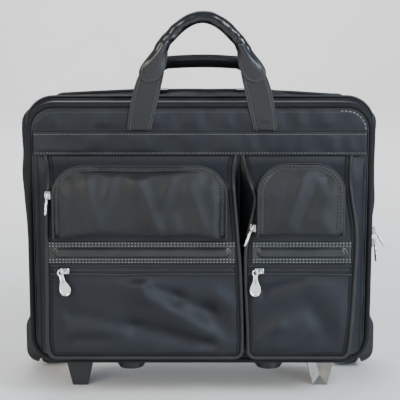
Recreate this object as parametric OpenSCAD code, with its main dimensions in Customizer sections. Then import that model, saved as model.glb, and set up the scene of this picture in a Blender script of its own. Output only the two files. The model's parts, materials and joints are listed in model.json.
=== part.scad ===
/* [Case body] */
// Half of the width of the front panel, inside its piping
front_half_w = 214.5; // [205:0.5:216]
// Half of the width of the main section
main_half_w = 221; // [218:0.5:224]
// Height of the top of the front panel above the floor
front_top = 379.5; // [378:0.5:381]
// Height of the bottom of the front panel above the floor
front_bottom = 46.5; // [46:0.5:48]
// Corner radius of the front panel
front_corner = 32; // [24:1:38]
// Corner radius of the main section
main_corner = 34; // [26:1:38]
// Depth of the tray-shaped front section
front_depth = 30; // [28:1:31]
// Thickness of the padded nylon walls
wall = 3; // [2:0.5:3.5]
// Diameter of the piping round the edges
piping_d = 4; // [3:0.5:4.2]

/* [Front pockets] */
// Depth of the two bellows pockets
bellows_depth = 30; // [24:1:30]
// Thickness of the arched pouches
pouch_depth = 11; // [9:0.5:12]
// Corner radius of the arched pouches
pouch_corner = 37; // [30:1:40]
// Height of the leather strips across the pockets
strip_h = 29; // [26:1:30]

/* [Carry handles] */
// Radius of the bend of the front leather grip
grip_bend = 51; // [46:1:54]
// Thickness of the front leather grip
grip_d = 15; // [12:0.5:17]
// Thickness of the nylon handle straps
strap_t = 2.8; // [2:0.2:3]
// Lean of the rear carry handle from upright
rear_lean = 30; // [20:1:40]

/* [Wheels and legs] */
// Diameter of the wheels
wheel_d = 62; // [58:1:62]
// Width of the wheels
wheel_w = 24; // [20:1:24]
// Diameter of the wheel axles
axle_d = 6; // [5:0.5:8]
// Width of a front leg where it meets the base
leg_top_w = 40; // [36:1:44]
// Width of a front leg at the floor
leg_foot_w = 20; // [18:1:26]
// Diameter of the round base studs
stud_d = 37; // [32:1:40]

/* [Pull-along handle] */
// Distance between the two tube columns
tube_gap = 160; // [150:2:170]
// Outer diameter of the fixed tubes
outer_tube_d = 17; // [16.6:0.1:17]
// Outer diameter of the middle tubes
mid_tube_d = 15.4; // [15:0.1:15.4]
// Outer diameter of the inner tubes
inner_tube_d = 13; // [12.6:0.1:13]
// Travel of the release button
button_travel = 3; // [2:0.5:3]

/* [Hidden] */
$fn = 48;

nylon = "#2b2f36";
leather = "#17181b";
plastic = "#1d1e20";
coil = "#3a3d42";
nickel = "#c9c9c6";
steel = "#9a9ca0";
lining = "#55585e";

gap = 0.3;
// depth stations, front to back
panel_y = -60;
front_back_y = panel_y + front_depth;
tape_w = 5;
zip_y = -27.5;
main_front_y = zip_y + tape_w + gap;
main_rear_y = 86;
rear_zone_y = main_rear_y + gap;
column_y = main_rear_y + 10;
pocket_y = panel_y - bellows_depth - gap;
pouch_y = pocket_y - pouch_depth - gap;
pouch_zip_y = pocket_y - 6.5;
// heights
base_z = 43;
base_t = 6;
main_bottom = base_z + base_t + gap;
main_top = 383;
seam_upper_z = 344;
seam_lower_z = 315;
zip_end_z = 168;
pocket_bottom = 60;
pocket_top = 314;
strip_bottom = 182;
zip_row_z = 173;
zip_row_h = 9;
// wheels
wheel_y = 74;
wheel_x = 208;
well_r = wheel_d/2 + 2.5;
housing = [[186, 238], [38, 104], [7, 86]];
bearing_gap = 0.05;
// legs and studs
leg_x = 159;
leg_y = [-24, -2];
stud_x = 92;
stud_bottom = 20;
// pockets, [left, right]
bellows_x = [[-192, 46], [60, 191]];
pouch_x = [[-182, 33], [71, 178]];
pouch_z = [[213, 306], [215, 309]];
strip_x = [[-190, 44], [64, 189]];
zip_x = [[-184, 42], [63, 188]];
// carry handles
handle_mid_x = 3;
grip_z = 435.5;
strap_root_z = seam_upper_z + 2;
strap_y = panel_y - gap;
rear_pivot = [76, 387];
rear_reach = 52;
// zip sliders
loop_y = -5.4;
loop_r = 1.1;
pull_t = 1.8;
pocket_spot = [-174, 69];
main_spot = [211, 195];
pouch_spot = [270, 229];
// pull-along handle
bezel_z = [338, 368];
tube_bottom = 56;
collar_z = bezel_z[0] + 5 + gap;
collar_d = 16.8;
bar_z = [352, 371];
bar_y = [column_y - 7, column_y + 7];

// extrusion of an x-z outline from y0 to y1
module slab(y0, y1) {
    translate([0, y1, 0]) rotate([90, 0, 0]) linear_extrude(y1 - y0) children();
}
// extrusion of a y-z outline from x0 to x1
module along_x(x0, x1) {
    translate([x0, 0, 0]) rotate([90, 0, 90]) linear_extrude(x1 - x0) children();
}
module block(x, y, z) {
    translate([x[0], y[0], z[0]]) cube([x[1] - x[0], y[1] - y[0], z[1] - z[0]]);
}
module round_rect(x, z, r) {
    translate([x[0] + r, z[0]]) square([x[1] - x[0] - 2*r, z[1] - z[0]]);
    translate([x[0], z[0] + r]) square([x[1] - x[0], z[1] - z[0] - 2*r]);
    for (cx = [x[0] + r, x[1] - r], cz = [z[0] + r, z[1] - r]) translate([cx, cz]) circle(r);
}
// square bottom corners, round top corners
module arch(x, z, r) {
    translate([x[0], z[0]]) square([x[1] - x[0], z[1] - z[0] - r]);
    translate([x[0] + r, z[0]]) square([x[1] - x[0] - 2*r, z[1] - z[0]]);
    for (cx = [x[0] + r, x[1] - r]) translate([cx, z[1] - r]) circle(r);
}
function grown(range, d) = [range[0] - d, range[1] + d];
module front_outline(d) {
    x = grown([-front_half_w, front_half_w], d);
    round_rect(x, grown([front_bottom, front_top], d), front_corner + d);
}
module main_outline(d) {
    round_rect(grown([-main_half_w, main_half_w], d), grown([main_bottom, main_top], d), main_corner + d);
}
// rod along an x-z corner: quarter torus centred at (cx, cz), starting at angle a
module corner_rod(cx, cz, bend, r, a) {
    translate([cx, 0, cz]) rotate([90, 0, 0]) rotate([0, 0, a])
        rotate_extrude(angle = 90) translate([bend, 0]) circle(r);
}
module rod_x(x0, x1, z, r) {
    translate([x0, 0, z]) rotate([0, 90, 0]) cylinder(r = r, h = x1 - x0);
}
module rod_z(x, z0, z1, r) {
    translate([x, 0, z0]) cylinder(r = r, h = z1 - z0);
}
// piping over the top corners of an outline, down to z0
module piping_arch(half_w, top, corner, z0) {
    r = piping_d/2;
    bend = corner + r + 0.1;
    cx = half_w - corner;
    cz = top - corner;
    rod_x(-cx, cx, cz + bend, r);
    for (s = [-1, 1]) rod_z(s*(cx + bend), z0, cz, r);
    corner_rod(cx, cz, bend, r, 0);
    corner_rod(-cx, cz, bend, r, 90);
}

// ---- main section ----
module main_shell() color(nylon) {
    difference() {
        slab(main_front_y, main_rear_y) main_outline(0);
        slab(main_front_y - 1, main_rear_y - wall) main_outline(-wall);
        for (s = [0, 1]) mirror([s, 0, 0])
            block([housing[0][0] - gap, 300], [housing[1][0] - gap, 200], [0, housing[2][1] + gap]);
    }
}
module base_tray() color(plastic) {
    block([-206, 206], [main_front_y - 1, housing[1][0] - gap], [base_z, base_z + base_t]);
    block([-184, 184], [30, main_rear_y], [base_z, base_z + base_t]);
}
module back_board() color(lining) {
    slab(main_rear_y - wall - 2.2, main_rear_y - wall - 0.1)
        round_rect([-182, 182], [main_bottom + 6, main_top - 8], 16);
}
module laptop_divider() color(lining) {
    slab(30, 36) round_rect([-190, 190], [main_bottom + wall + 0.2, 300], 14);
}
module rear_piping() color(leather) {
    translate([0, main_rear_y - 2, 0]) piping_arch(main_half_w, main_top, main_corner, housing[2][1] + 4);
}
// zip tape over the top corners of an outline, just inside it
module zip_band(y0, y1, half_w, top, corner) {
    outer = 0.5;
    inner = 2;
    slab(y0, y1) difference() {
        arch([outer - half_w, half_w - outer], [zip_end_z, top - outer], corner - outer);
        arch([inner - half_w, half_w - inner], [zip_end_z - 1, top - inner], corner - inner);
    }
}
module main_zip_rear() color(coil)
    zip_band(zip_y + gap/2, main_front_y - 0.05, main_half_w, main_top, main_corner);
module main_zip_front() color(coil)
    zip_band(front_back_y + 0.05, zip_y - gap/2, front_half_w, front_top, front_corner);
module zip_end_tabs() color(leather) for (s = [0, 1]) mirror([s, 0, 0])
    block([main_half_w + 0.1, main_half_w + 2], [-22, -4], [zip_end_z - 12, zip_end_z + 8]);

// ---- chassis ----
module housing_body() {
    difference() {
        intersection() {
            slab(housing[1][0], housing[1][1]) {
                round_rect(housing[0], housing[2], 25);
                translate([housing[0][0], housing[2][0]]) square([24, housing[2][1] - housing[2][0]]);
            }
            along_x(housing[0][0], housing[0][1]) round_rect(housing[1], housing[2], 18);
        }
        along_x(wheel_x - wheel_w/2 - 3, wheel_x + wheel_w/2 + 3) {
            translate([wheel_y, wheel_d/2]) circle(well_r);
            translate([wheel_y - well_r, -1]) square([2*well_r + 10, wheel_d/2 + 1]);
            translate([wheel_y, -1]) square([40, wheel_d/2 + 16]);
        }
        along_x(housing[0][0] - 1, housing[0][1] - 4) translate([wheel_y, wheel_d/2]) circle(axle_d/2);
    }
}
module wheel_housing_right() color(plastic) housing_body();
module wheel_housing_left() color(plastic) mirror([1, 0, 0]) housing_body();
module axles() color(steel) for (s = [0, 1]) mirror([s, 0, 0])
    along_x(housing[0][0] + 1, housing[0][1] - 4) translate([wheel_y, wheel_d/2]) circle(axle_d/2);
// tapered leg with a plate recess in its front face
module leg() {
    rim = 4;
    top = leg_top_w/2;
    foot = leg_foot_w/2;
    height = base_z - 0.1;
    difference() {
        union() {
            slab(leg_y[0], leg_y[1]) polygon([[-top, height], [-foot, 0], [foot, 0], [top, height]]);
            block([-top - 3, top + 3], [leg_y[0], leg_y[1] + 8], [height - 4, height]);
        }
        slab(leg_y[0] - 1, leg_y[0] + 5) polygon([[rim - top, height - 4], [rim - foot + 1, rim + 2],
            [foot - rim - 1, rim + 2], [top - rim, height - 4]]);
    }
}
module front_leg_left() color(plastic) translate([-leg_x, 0, 0]) leg();
module front_leg_right() color(nickel) translate([leg_x, 0, 0]) leg();
module base_studs() color(plastic) for (s = [-1, 1]) translate([s*stud_x, 0, stud_bottom]) {
    cylinder(d = stud_d - 4, h = 3);
    translate([0, 0, 3]) cylinder(d = stud_d, h = base_z - stud_bottom - 3.1);
}
module skid_rails() color(plastic) for (x = [-158, 158])
    along_x(x - 5, x + 5) round_rect([rear_zone_y, rear_zone_y + 12], [60, 210], 5);
module base_screws() color(steel) {
    spots = [[52, 10], [128, 10], [172, 48], [172, 70]];
    for (s = [-1, 1], p = spots) translate([s*p[0], p[1], base_z - 2.1]) cylinder(r = 3, h = 2);
}

// ---- pull-along handle ----
module columns() for (s = [-1, 1]) translate([s*tube_gap/2, column_y, 0]) children();
module tube(d, t, z0, z1) difference() {
    translate([0, 0, z0]) cylinder(d = d, h = z1 - z0);
    translate([0, 0, z0 - 1]) cylinder(d = d - 2*t, h = z1 - z0 + 2);
}
module outer_tubes() color(steel) columns() tube(outer_tube_d, 0.7, tube_bottom, bezel_z[0]);
module mid_tubes() color(steel) columns() tube(mid_tube_d, 1.1, tube_bottom + 4, collar_z);
module mid_collars() color(plastic) columns()
    tube(collar_d, (collar_d - inner_tube_d)/2 - 0.1, collar_z, collar_z + 4);
module inner_tubes() color(steel) columns() tube(inner_tube_d, 1.1, tube_bottom + 8, bar_z[0]);
module tube_foot() color(plastic) difference() {
    block([-104, 104], [rear_zone_y, rear_zone_y + 19.5], [50, 66]);
    columns() translate([0, 0, tube_bottom]) cylinder(d = outer_tube_d + 0.1, h = 20);
}
module handle_bezel() color(plastic) {
    x = tube_gap/2 + 20;
    difference() {
        block([-x, x], [rear_zone_y, rear_zone_y + 20], bezel_z);
        block([-x + 3, x - 3], grown([column_y, column_y], collar_d/2 + gap), [bezel_z[0] + 5, 400]);
        block([-60, 60], [column_y, rear_zone_y + 30], [bezel_z[0] + 5, 400]);
        columns() translate([0, 0, 300]) cylinder(d = mid_tube_d + 0.2, h = 100);
    }
}
module rear_cover() color(nylon) difference() {
    block([-130, 130], [rear_zone_y, rear_zone_y + 20], [66.3, bezel_z[0] - gap]);
    block([-127, 127], [rear_zone_y - 1, rear_zone_y + 18.5], [66, 400]);
}
module trolley_grip() color(plastic) {
    x = tube_gap/2 + 11;
    difference() {
        along_x(-x, x) round_rect(bar_y, bar_z, 6);
        block([3 - x, x - 3], [column_y - 4.3, column_y + 4.3], [bar_z[0] + 4, bar_z[0] + 13]);
        block([-14.3, 14.3], [column_y - 4.3, column_y + 4.3], [bar_z[0] + 12, 400]);
        columns() translate([0, 0, bar_z[0] - 1]) cylinder(d = 8, h = 10);
    }
}
module release_button() color(nickel)
    block([-14, 14], [column_y - 4, column_y + 4], [bar_z[0] + 11, bar_z[1] + button_travel]);
module release_rods() color(steel) {
    block([-tube_gap/2 - 4, tube_gap/2 + 4], [column_y - 2, column_y + 2], [bar_z[0] + 8, bar_z[0] + 10.9]);
    columns() translate([0, 0, 90]) cylinder(d = 4, h = bar_z[0] + 8 - 90);
}

// ---- front section ----
module front_shell() color(nylon) difference() {
    slab(panel_y, front_back_y) front_outline(0);
    slab(panel_y + wall, front_back_y + 1) front_outline(-wall);
}
module organiser_panel() color(lining) {
    slab(panel_y + wall + 0.1, panel_y + wall + 1.6) round_rect([-190, 190], [70, 330], 12);
    for (x = [-150, -40, 70]) slab(panel_y + wall + 1.6, panel_y + wall + 4)
        round_rect([x, x + 90], [90, 220], 8);
}
module front_piping() color(leather) translate([0, panel_y + 2, 0]) {
    r = piping_d/2;
    bend = front_corner + r + 0.1;
    cx = front_half_w - front_corner;
    piping_arch(front_half_w, front_top, front_corner, front_bottom + front_corner);
    corner_rod(-cx, front_bottom + front_corner, bend, r, 180);
    corner_rod(cx, front_bottom + front_corner, bend, r, 270);
    rod_x(-cx, cx, front_bottom + front_corner - bend, r);
}
module seam_strip() color(nylon) slab(panel_y - 1.3, panel_y - 0.1)
    translate([-207, seam_lower_z]) square([414, seam_upper_z - seam_lower_z - 1]);
// box pocket with a slot behind its zip
module bellows(i) {
    t = 2;
    slot_x = grown(zip_x[i], -3);
    difference() {
        slab(pocket_y, panel_y - gap) round_rect(bellows_x[i], [pocket_bottom, pocket_top], 8);
        slab(pocket_y + t, panel_y - gap - 1.5)
            round_rect(grown(bellows_x[i], -t), [pocket_bottom + t, pocket_top - t], 6);
        block(slot_x, [pocket_y - 1, pocket_y + 3], grown([zip_row_z, zip_row_z], 2.5));
    }
}
module bellows_left() color(nylon) bellows(0);
module bellows_right() color(nylon) bellows(1);
module pouch(i) difference() {
    slab(pouch_y, pocket_y - 0.1) arch(pouch_x[i], pouch_z[i], pouch_corner);
    slab(pouch_y + 2, pocket_y - 2) arch(grown(pouch_x[i], -2), grown(pouch_z[i], -2), pouch_corner - 2);
}
module pouch_left() color(nylon) pouch(0);
module pouch_right() color(nylon) pouch(1);
module leather_strips() color(leather) for (i = [0, 1]) {
    slab(pocket_y - 1.7, pocket_y - 0.1) translate([strip_x[i][0], strip_bottom])
        square([strip_x[i][1] - strip_x[i][0], strip_h]);
    slab(pocket_y - 3.2, pocket_y - 1.7)
        round_rect(grown(strip_x[i], -6), [strip_bottom + 8, strip_bottom + 21], 6);
}
module pocket_zips() color(coil) for (i = [0, 1]) slab(pocket_y - 1.3, pocket_y - 0.1)
    translate([zip_x[i][0], zip_row_z - zip_row_h/2]) square([zip_x[i][1] - zip_x[i][0], zip_row_h]);
module pouch_zips() color(coil) for (i = [0, 1]) slab(pouch_zip_y - 2, pouch_zip_y + 2) difference() {
    arch(grown(pouch_x[i], 1), [pouch_z[i][0] + 4, pouch_z[i][1] + 1], pouch_corner + 1);
    arch(pouch_x[i], [0, pouch_z[i][1]], pouch_corner);
}
// folded side gussets and the fabric hinge between the two sections
module fan_gussets() color(nylon) {
    for (s = [0, 1]) mirror([s, 0, 0]) block([204, 206], [panel_y + 6, -2], [96, 300]);
    block([-170, 170], [front_back_y + 0.1, main_front_y - 0.1], [main_bottom + 0.2, main_bottom + 1.7]);
}

// ---- carry handles ----
grip_end_z = grip_z - gap;
// strap outline left of the middle, from the seam to the grip
module strap_outline() polygon([[-93, strap_root_z], [-65, strap_root_z], [-59, 381], [-52, 413],
    [-44.5, grip_end_z], [-58.5, grip_end_z], [-80, 413], [-90, 381]]);
module front_straps() color(nylon) slab(strap_y - strap_t, strap_y) for (s = [0, 1])
    translate([handle_mid_x, 0]) mirror([s, 0]) strap_outline();
module front_grip() color(leather) translate([handle_mid_x, strap_y - strap_t/2, grip_z])
    rotate([90, 0, 0]) rotate_extrude(angle = 180) translate([grip_bend, 0]) circle(d = grip_d);
// teardrop: an arc round the tip, closed by the edge under the grip
tab_tip = [-64, 419];
tab_rim = [for (a = [150:12:366]) tab_tip + 13*[cos(a), sin(a)]];
tab_outline = concat(tab_rim, [[-45, grip_end_z], [-60, grip_end_z]]);
module grip_tabs() color(leather) slab(strap_y - strap_t - 2.4, strap_y - strap_t - 0.1) for (s = [0, 1])
    translate([handle_mid_x, 0]) mirror([s, 0]) polygon(tab_outline);
module rear_handle_place() translate([handle_mid_x, rear_pivot[0], rear_pivot[1]])
    rotate([rear_lean, 0, 0]) children();
module rear_straps() color(nylon) rear_handle_place() slab(-strap_t/2, strap_t/2) for (s = [0, 1])
    mirror([s, 0]) polygon([[-76, 2], [-47.5, 2], [-47.5, 42], [-66, 42]]);
module rear_grip() color(leather) rear_handle_place() slab(-3, 3) polygon([[-47.2, 31], [-30, 33.5],
    [0, 34.5], [30, 33.5], [47.2, 31], [47.2, 44.3], [30, 50], [0, rear_reach], [-30, 50], [-47.2, 44.3]]);
module rear_handle_anchors() color(leather) for (s = [-1, 1])
    translate([handle_mid_x + s*62, 0, 0]) block([-16, 16], [57, 81], [main_top + 0.1, main_top + 2]);

// ---- wheels ----
module wheel_disc(x, w) along_x(x - w/2, x + w/2) translate([wheel_y, wheel_d/2]) children();
module tyre(x) color("#151515") wheel_disc(x, wheel_w) difference() {
    circle(d = wheel_d, $fn = 96);
    circle(d = wheel_d - 20);
}
module hub(x) color(steel) wheel_disc(x, wheel_w - 2) difference() {
    circle(d = wheel_d - 20);
    circle(d = axle_d + 2*bearing_gap);
    for (a = [0:72:288]) rotate(a) translate([12, 0]) circle(d = 9);
}
module tyre_right() tyre(wheel_x);
module tyre_left() tyre(-wheel_x);
module hub_right() hub(wheel_x);
module hub_left() hub(-wheel_x);

// ---- zip sliders and pulls ----
// slider on a surface facing -y, its loop bar along x at loop_y
module slider(half_w, half_h) {
    block([-half_w, half_w], [-2.6, 0], [-half_h, half_h]);
    for (s = [0, 1]) mirror([s, 0, 0]) block([2.5, 3.6], [loop_y - 1.4, -2.5], [-1.6, 1.6]);
    along_x(-3, 3) translate([loop_y, 0]) circle(r = loop_r);
}
// teardrop pull hanging from its loop bar at the origin, flat side to the front
module pull(length, r) difference() {
    union() {
        along_x(-2.3, 2.3) circle(r = loop_r + 1.3);
        slab(-pull_t/2, pull_t/2) {
            translate([-2.3, -9]) square([4.6, 9]);
            polygon([[-2.3, -8], [2.3, -8], [0.98*r, 1.25*r - length], [-0.98*r, 1.25*r - length]]);
            translate([0, r - length]) circle(r);
        }
    }
    along_x(-10, 10) circle(r = loop_r + bearing_gap);
}
// pocket zips: facing the front
module at_pocket(i) translate([pocket_spot[i], pocket_y - 1.5, zip_row_z]) children();
module pocket_slider(i) color(nickel) at_pocket(i) slider(6, 3.6);
module pocket_pull(i) color(nickel) at_pocket(i) translate([0, loop_y, 0]) pull(32, 7);
// main zip: on the right side, facing +x
module at_main(i) translate([main_half_w + gap, zip_y, main_spot[i]]) rotate([0, 0, 90]) children();
module main_slider(i) color(nickel) at_main(i) slider(3.6, 6);
module main_pull(i, out) color(nickel) at_main(i)
    translate([0, loop_y, 0]) rotate([-out, 0, 0]) pull(26, 5.5);
// pouch zips: on the left side wall of each pouch, facing -x
module at_pouch(i) translate([pouch_x[i][0] - 1.2, pouch_zip_y, pouch_spot[i]])
    rotate([0, 0, -90]) children();
module pouch_slider(i) color(nickel) at_pouch(i) slider(3.6, 6);
module pouch_pull(i, out) color(nickel) at_pouch(i)
    translate([0, loop_y, 0]) rotate([-out, 0, 0]) pull(26, 5);

module pocket_slider_left() pocket_slider(0);
module pocket_slider_right() pocket_slider(1);
module pocket_pull_left() pocket_pull(0);
module pocket_pull_right() pocket_pull(1);
module main_slider_upper() main_slider(0);
module main_slider_lower() main_slider(1);
module main_pull_upper() main_pull(0, 30);
module main_pull_lower() main_pull(1, 6);
module pouch_slider_left() pouch_slider(0);
module pouch_slider_right() pouch_slider(1);
module pouch_pull_left() pouch_pull(0, 4);
module pouch_pull_right() pouch_pull(1, 22);

main_shell();
base_tray();
back_board();
laptop_divider();
rear_piping();
main_zip_rear();
zip_end_tabs();
wheel_housing_left();
wheel_housing_right();
axles();
front_leg_left();
front_leg_right();
base_studs();
skid_rails();
outer_tubes();
handle_bezel();
tube_foot();
rear_cover();
base_screws();
rear_handle_anchors();
front_shell();
organiser_panel();
front_piping();
seam_strip();
main_zip_front();
bellows_left();
bellows_right();
pouch_left();
pouch_right();
leather_strips();
pocket_zips();
pouch_zips();
fan_gussets();
front_straps();
front_grip();
grip_tabs();
rear_straps();
rear_grip();
tyre_left();
hub_left();
tyre_right();
hub_right();
mid_tubes();
mid_collars();
inner_tubes();
trolley_grip();
release_button();
release_rods();
main_slider_upper();
main_pull_upper();
main_slider_lower();
main_pull_lower();
pocket_slider_left();
pocket_pull_left();
pocket_slider_right();
pocket_pull_right();
pouch_slider_left();
pouch_pull_left();
pouch_slider_right();
pouch_pull_right();
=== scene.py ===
"""Looks of the rolling laptop case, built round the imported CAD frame. Tables hold millimetres."""
import json
import math

import bmesh
import bpy
import numpy as np
from mathutils import Matrix, Vector, noise
from mathutils.bvhtree import BVHTree


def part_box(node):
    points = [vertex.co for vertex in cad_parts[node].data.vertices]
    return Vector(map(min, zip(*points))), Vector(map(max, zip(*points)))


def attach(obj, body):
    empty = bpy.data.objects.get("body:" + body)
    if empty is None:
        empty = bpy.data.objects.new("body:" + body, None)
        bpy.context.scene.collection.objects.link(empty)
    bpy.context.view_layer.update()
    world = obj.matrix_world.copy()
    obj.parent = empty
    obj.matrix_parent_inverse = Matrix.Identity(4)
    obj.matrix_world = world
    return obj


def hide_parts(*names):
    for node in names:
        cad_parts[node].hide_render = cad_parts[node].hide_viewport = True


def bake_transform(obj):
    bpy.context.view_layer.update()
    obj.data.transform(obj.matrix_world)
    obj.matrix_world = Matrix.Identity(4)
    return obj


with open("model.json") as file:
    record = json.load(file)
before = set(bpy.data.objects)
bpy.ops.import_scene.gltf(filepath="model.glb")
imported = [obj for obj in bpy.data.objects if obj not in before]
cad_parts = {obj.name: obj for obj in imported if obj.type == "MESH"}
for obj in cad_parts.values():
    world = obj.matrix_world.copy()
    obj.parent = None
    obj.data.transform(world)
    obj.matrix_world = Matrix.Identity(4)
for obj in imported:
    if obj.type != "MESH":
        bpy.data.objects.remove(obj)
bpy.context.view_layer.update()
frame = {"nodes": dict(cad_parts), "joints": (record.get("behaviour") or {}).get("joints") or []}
MM = 0.001


# ---------------------------------------------------------------- camera, lights, floor
VIEW_DISTANCE = 1.568
VIEW_HEIGHT = 0.542
VIEW_PITCH = math.radians(10.7)
LENS = 109.5


def add_camera():
    data = bpy.data.cameras.new("camera")
    data.lens = LENS
    data.sensor_width = 36
    cam = bpy.data.objects.new("camera", data)
    bpy.context.collection.objects.link(cam)
    cam.location = (0, -VIEW_DISTANCE, VIEW_HEIGHT)
    cam.rotation_euler = (math.pi / 2 - VIEW_PITCH, 0, 0)
    bpy.context.scene.camera = cam


def add_area(name, place, target, size, power, colour):
    data = bpy.data.lights.new(name, "AREA")
    data.size = size
    data.energy = power
    data.color = colour
    lamp = bpy.data.objects.new(name, data)
    bpy.context.collection.objects.link(lamp)
    lamp.location = place
    lamp.rotation_euler = (Vector(target) - Vector(place)).to_track_quat("-Z", "Y").to_euler()


def add_lights():
    middle = (0, 0, 0.2)
    add_area("window", (1.4, -1.5, 1.7), middle, 0.8, 62, (0.84, 0.92, 1.0))
    add_area("room", (-1.5, -1.7, 1.2), middle, 1.3, 46, (1.0, 0.93, 0.80))
    add_area("low_window", (1.25, -1.25, 0.25), (0.0, 0.0, 0.42), 0.6, 16, (0.72, 0.84, 1.0))
    add_area("rim", (-0.5, 1.5, 1.7), middle, 1.2, 14, (0.9, 0.95, 1.0))
    add_area("backdrop", (0.0, 2.0, 2.6), (0.0, 4.0, 0.6), 2.0, 110, (1.0, 0.97, 0.93))
    world = bpy.data.worlds.new("studio")
    bpy.context.scene.world = world
    world.use_nodes = True
    sky = world.node_tree.nodes["Background"]
    sky.inputs["Color"].default_value = (0.72, 0.82, 1.0, 1)
    sky.inputs["Strength"].default_value = 0.6


# ---------------------------------------------------------------- materials
def new_material(name, colour, rough, metal=0.0):
    mat = bpy.data.materials.new(name)
    mat.use_nodes = True
    shader = mat.node_tree.nodes["Principled BSDF"]
    shader.inputs["Base Color"].default_value = (*colour, 1)
    shader.inputs["Roughness"].default_value = rough
    shader.inputs["Metallic"].default_value = metal
    return mat


def node(mat, kind, **sockets):
    n = mat.node_tree.nodes.new(kind)
    for key, value in sockets.items():
        n.inputs[key.replace("_", " ")].default_value = value
    return n


def wire(mat, a, b):
    mat.node_tree.links.new(a, b)


def maths(mat, kind, a, b=None):
    n = mat.node_tree.nodes.new("ShaderNodeMath")
    n.operation = kind
    for i, value in enumerate((a, b)):
        if value is None:
            continue
        if isinstance(value, (int, float)):
            n.inputs[i].default_value = value
        else:
            wire(mat, value, n.inputs[i])
    return n.outputs[0]


def place_of(mat):
    return mat.node_tree.nodes.new("ShaderNodeTexCoord").outputs["Object"]


def noise_at(mat, scale, detail=4.0, rough=0.55):
    n = node(mat, "ShaderNodeTexNoise", Scale=scale, Detail=detail, Roughness=rough)
    wire(mat, place_of(mat), n.inputs["Vector"])
    return n.outputs["Fac"]


def ramp(mat, factor, stops):
    n = mat.node_tree.nodes.new("ShaderNodeValToRGB")
    n.color_ramp.elements.remove(n.color_ramp.elements[1])
    first = True
    for place, colour in stops:
        e = n.color_ramp.elements[0] if first else n.color_ramp.elements.new(place)
        e.position = place
        e.color = (*colour, 1)
        first = False
    wire(mat, factor, n.inputs["Fac"])
    return n.outputs["Color"]


def grey_range(mat, factor, low, high):
    n = node(mat, "ShaderNodeMapRange")
    n.inputs["To Min"].default_value = low
    n.inputs["To Max"].default_value = high
    wire(mat, factor, n.inputs["Value"])
    return n.outputs["Result"]


def bump(mat, height, depth, strength=1.0, under=None):
    n = node(mat, "ShaderNodeBump", Strength=strength, Distance=depth)
    wire(mat, height, n.inputs["Height"])
    if under is not None:
        wire(mat, under, n.inputs["Normal"])
    return n.outputs["Normal"]


def finish_material(mat, colour=None, rough=None, normal=None):
    shader = mat.node_tree.nodes["Principled BSDF"]
    for value, socket in ((colour, "Base Color"), (rough, "Roughness"), (normal, "Normal")):
        if value is not None:
            wire(mat, value, shader.inputs[socket])
    return mat


def weave(mat, pitch):
    """Basket weave from two rows of crossing yarns, in any plane of the case."""
    parts = mat.node_tree.nodes.new("ShaderNodeSeparateXYZ")
    wire(mat, place_of(mat), parts.inputs[0])
    x, y, z = parts.outputs
    k = 2 * math.pi / pitch
    across = maths(mat, "SINE", maths(mat, "MULTIPLY", maths(mat, "ADD", x, y), k))
    up = maths(mat, "SUBTRACT", z, maths(mat, "MULTIPLY", y, 0.5))
    along = maths(mat, "SINE", maths(mat, "MULTIPLY", up, k))
    return maths(mat, "MULTIPLY", across, along)


def nylon(name, dark, light, rough=0.56, pitch=0.0016, gloss=0.34):
    mat = new_material(name, dark, rough)
    tone = ramp(mat, noise_at(mat, 14, 5), [(0.3, dark), (0.7, light)])
    cloth = bump(mat, weave(mat, pitch), 0.00012, 0.5)
    cloth = bump(mat, noise_at(mat, 900, 2), 0.0001, 0.35, cloth)
    finish_material(mat, tone, grey_range(mat, noise_at(mat, 60, 4), rough - 0.07, rough + 0.1), cloth)
    shader = mat.node_tree.nodes["Principled BSDF"]
    shader.inputs["Sheen Weight"].default_value = 0.03
    shader.inputs["Sheen Roughness"].default_value = 0.4
    shader.inputs["Specular IOR Level"].default_value = gloss
    return mat


def leather(name, dark, light, rough, depth=0.0002, grain=420):
    mat = new_material(name, dark, rough)
    tone = ramp(mat, noise_at(mat, 22, 5), [(0.3, dark), (0.75, light)])
    cells = node(mat, "ShaderNodeTexVoronoi", Scale=grain)
    wire(mat, place_of(mat), cells.inputs["Vector"])
    skin = bump(mat, cells.outputs["Distance"], depth, 0.35)
    skin = bump(mat, noise_at(mat, 70, 5), depth * 3, 0.35, skin)
    return finish_material(mat, tone, grey_range(mat, noise_at(mat, 45, 4), rough - 0.08, rough + 0.12),
                           skin)


def plastic(name, dark, light, rough, grain=1400, depth=0.00012):
    mat = new_material(name, dark, rough)
    tone = ramp(mat, noise_at(mat, 30, 5), [(0.35, dark), (0.75, light)])
    skin = bump(mat, noise_at(mat, grain, 3), depth, 0.5)
    return finish_material(mat, tone, grey_range(mat, noise_at(mat, 60, 4), rough - 0.06, rough + 0.12),
                           skin)


def metal(name, dark, light, rough, scratch=260):
    mat = new_material(name, dark, rough, 1.0)
    tone = ramp(mat, noise_at(mat, 40, 4), [(0.3, dark), (0.7, light)])
    skin = bump(mat, noise_at(mat, scratch, 4), 0.00006, 0.4)
    return finish_material(mat, tone, grey_range(mat, noise_at(mat, 90, 4), rough - 0.05, rough + 0.12),
                           skin)


def floor_material():
    mat = new_material("floor", (0.80, 0.79, 0.77), 0.75)
    tone = ramp(mat, noise_at(mat, 2.2, 4), [(0.3, (0.78, 0.77, 0.75)), (0.7, (0.84, 0.835, 0.82))])
    return finish_material(mat, tone)


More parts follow.
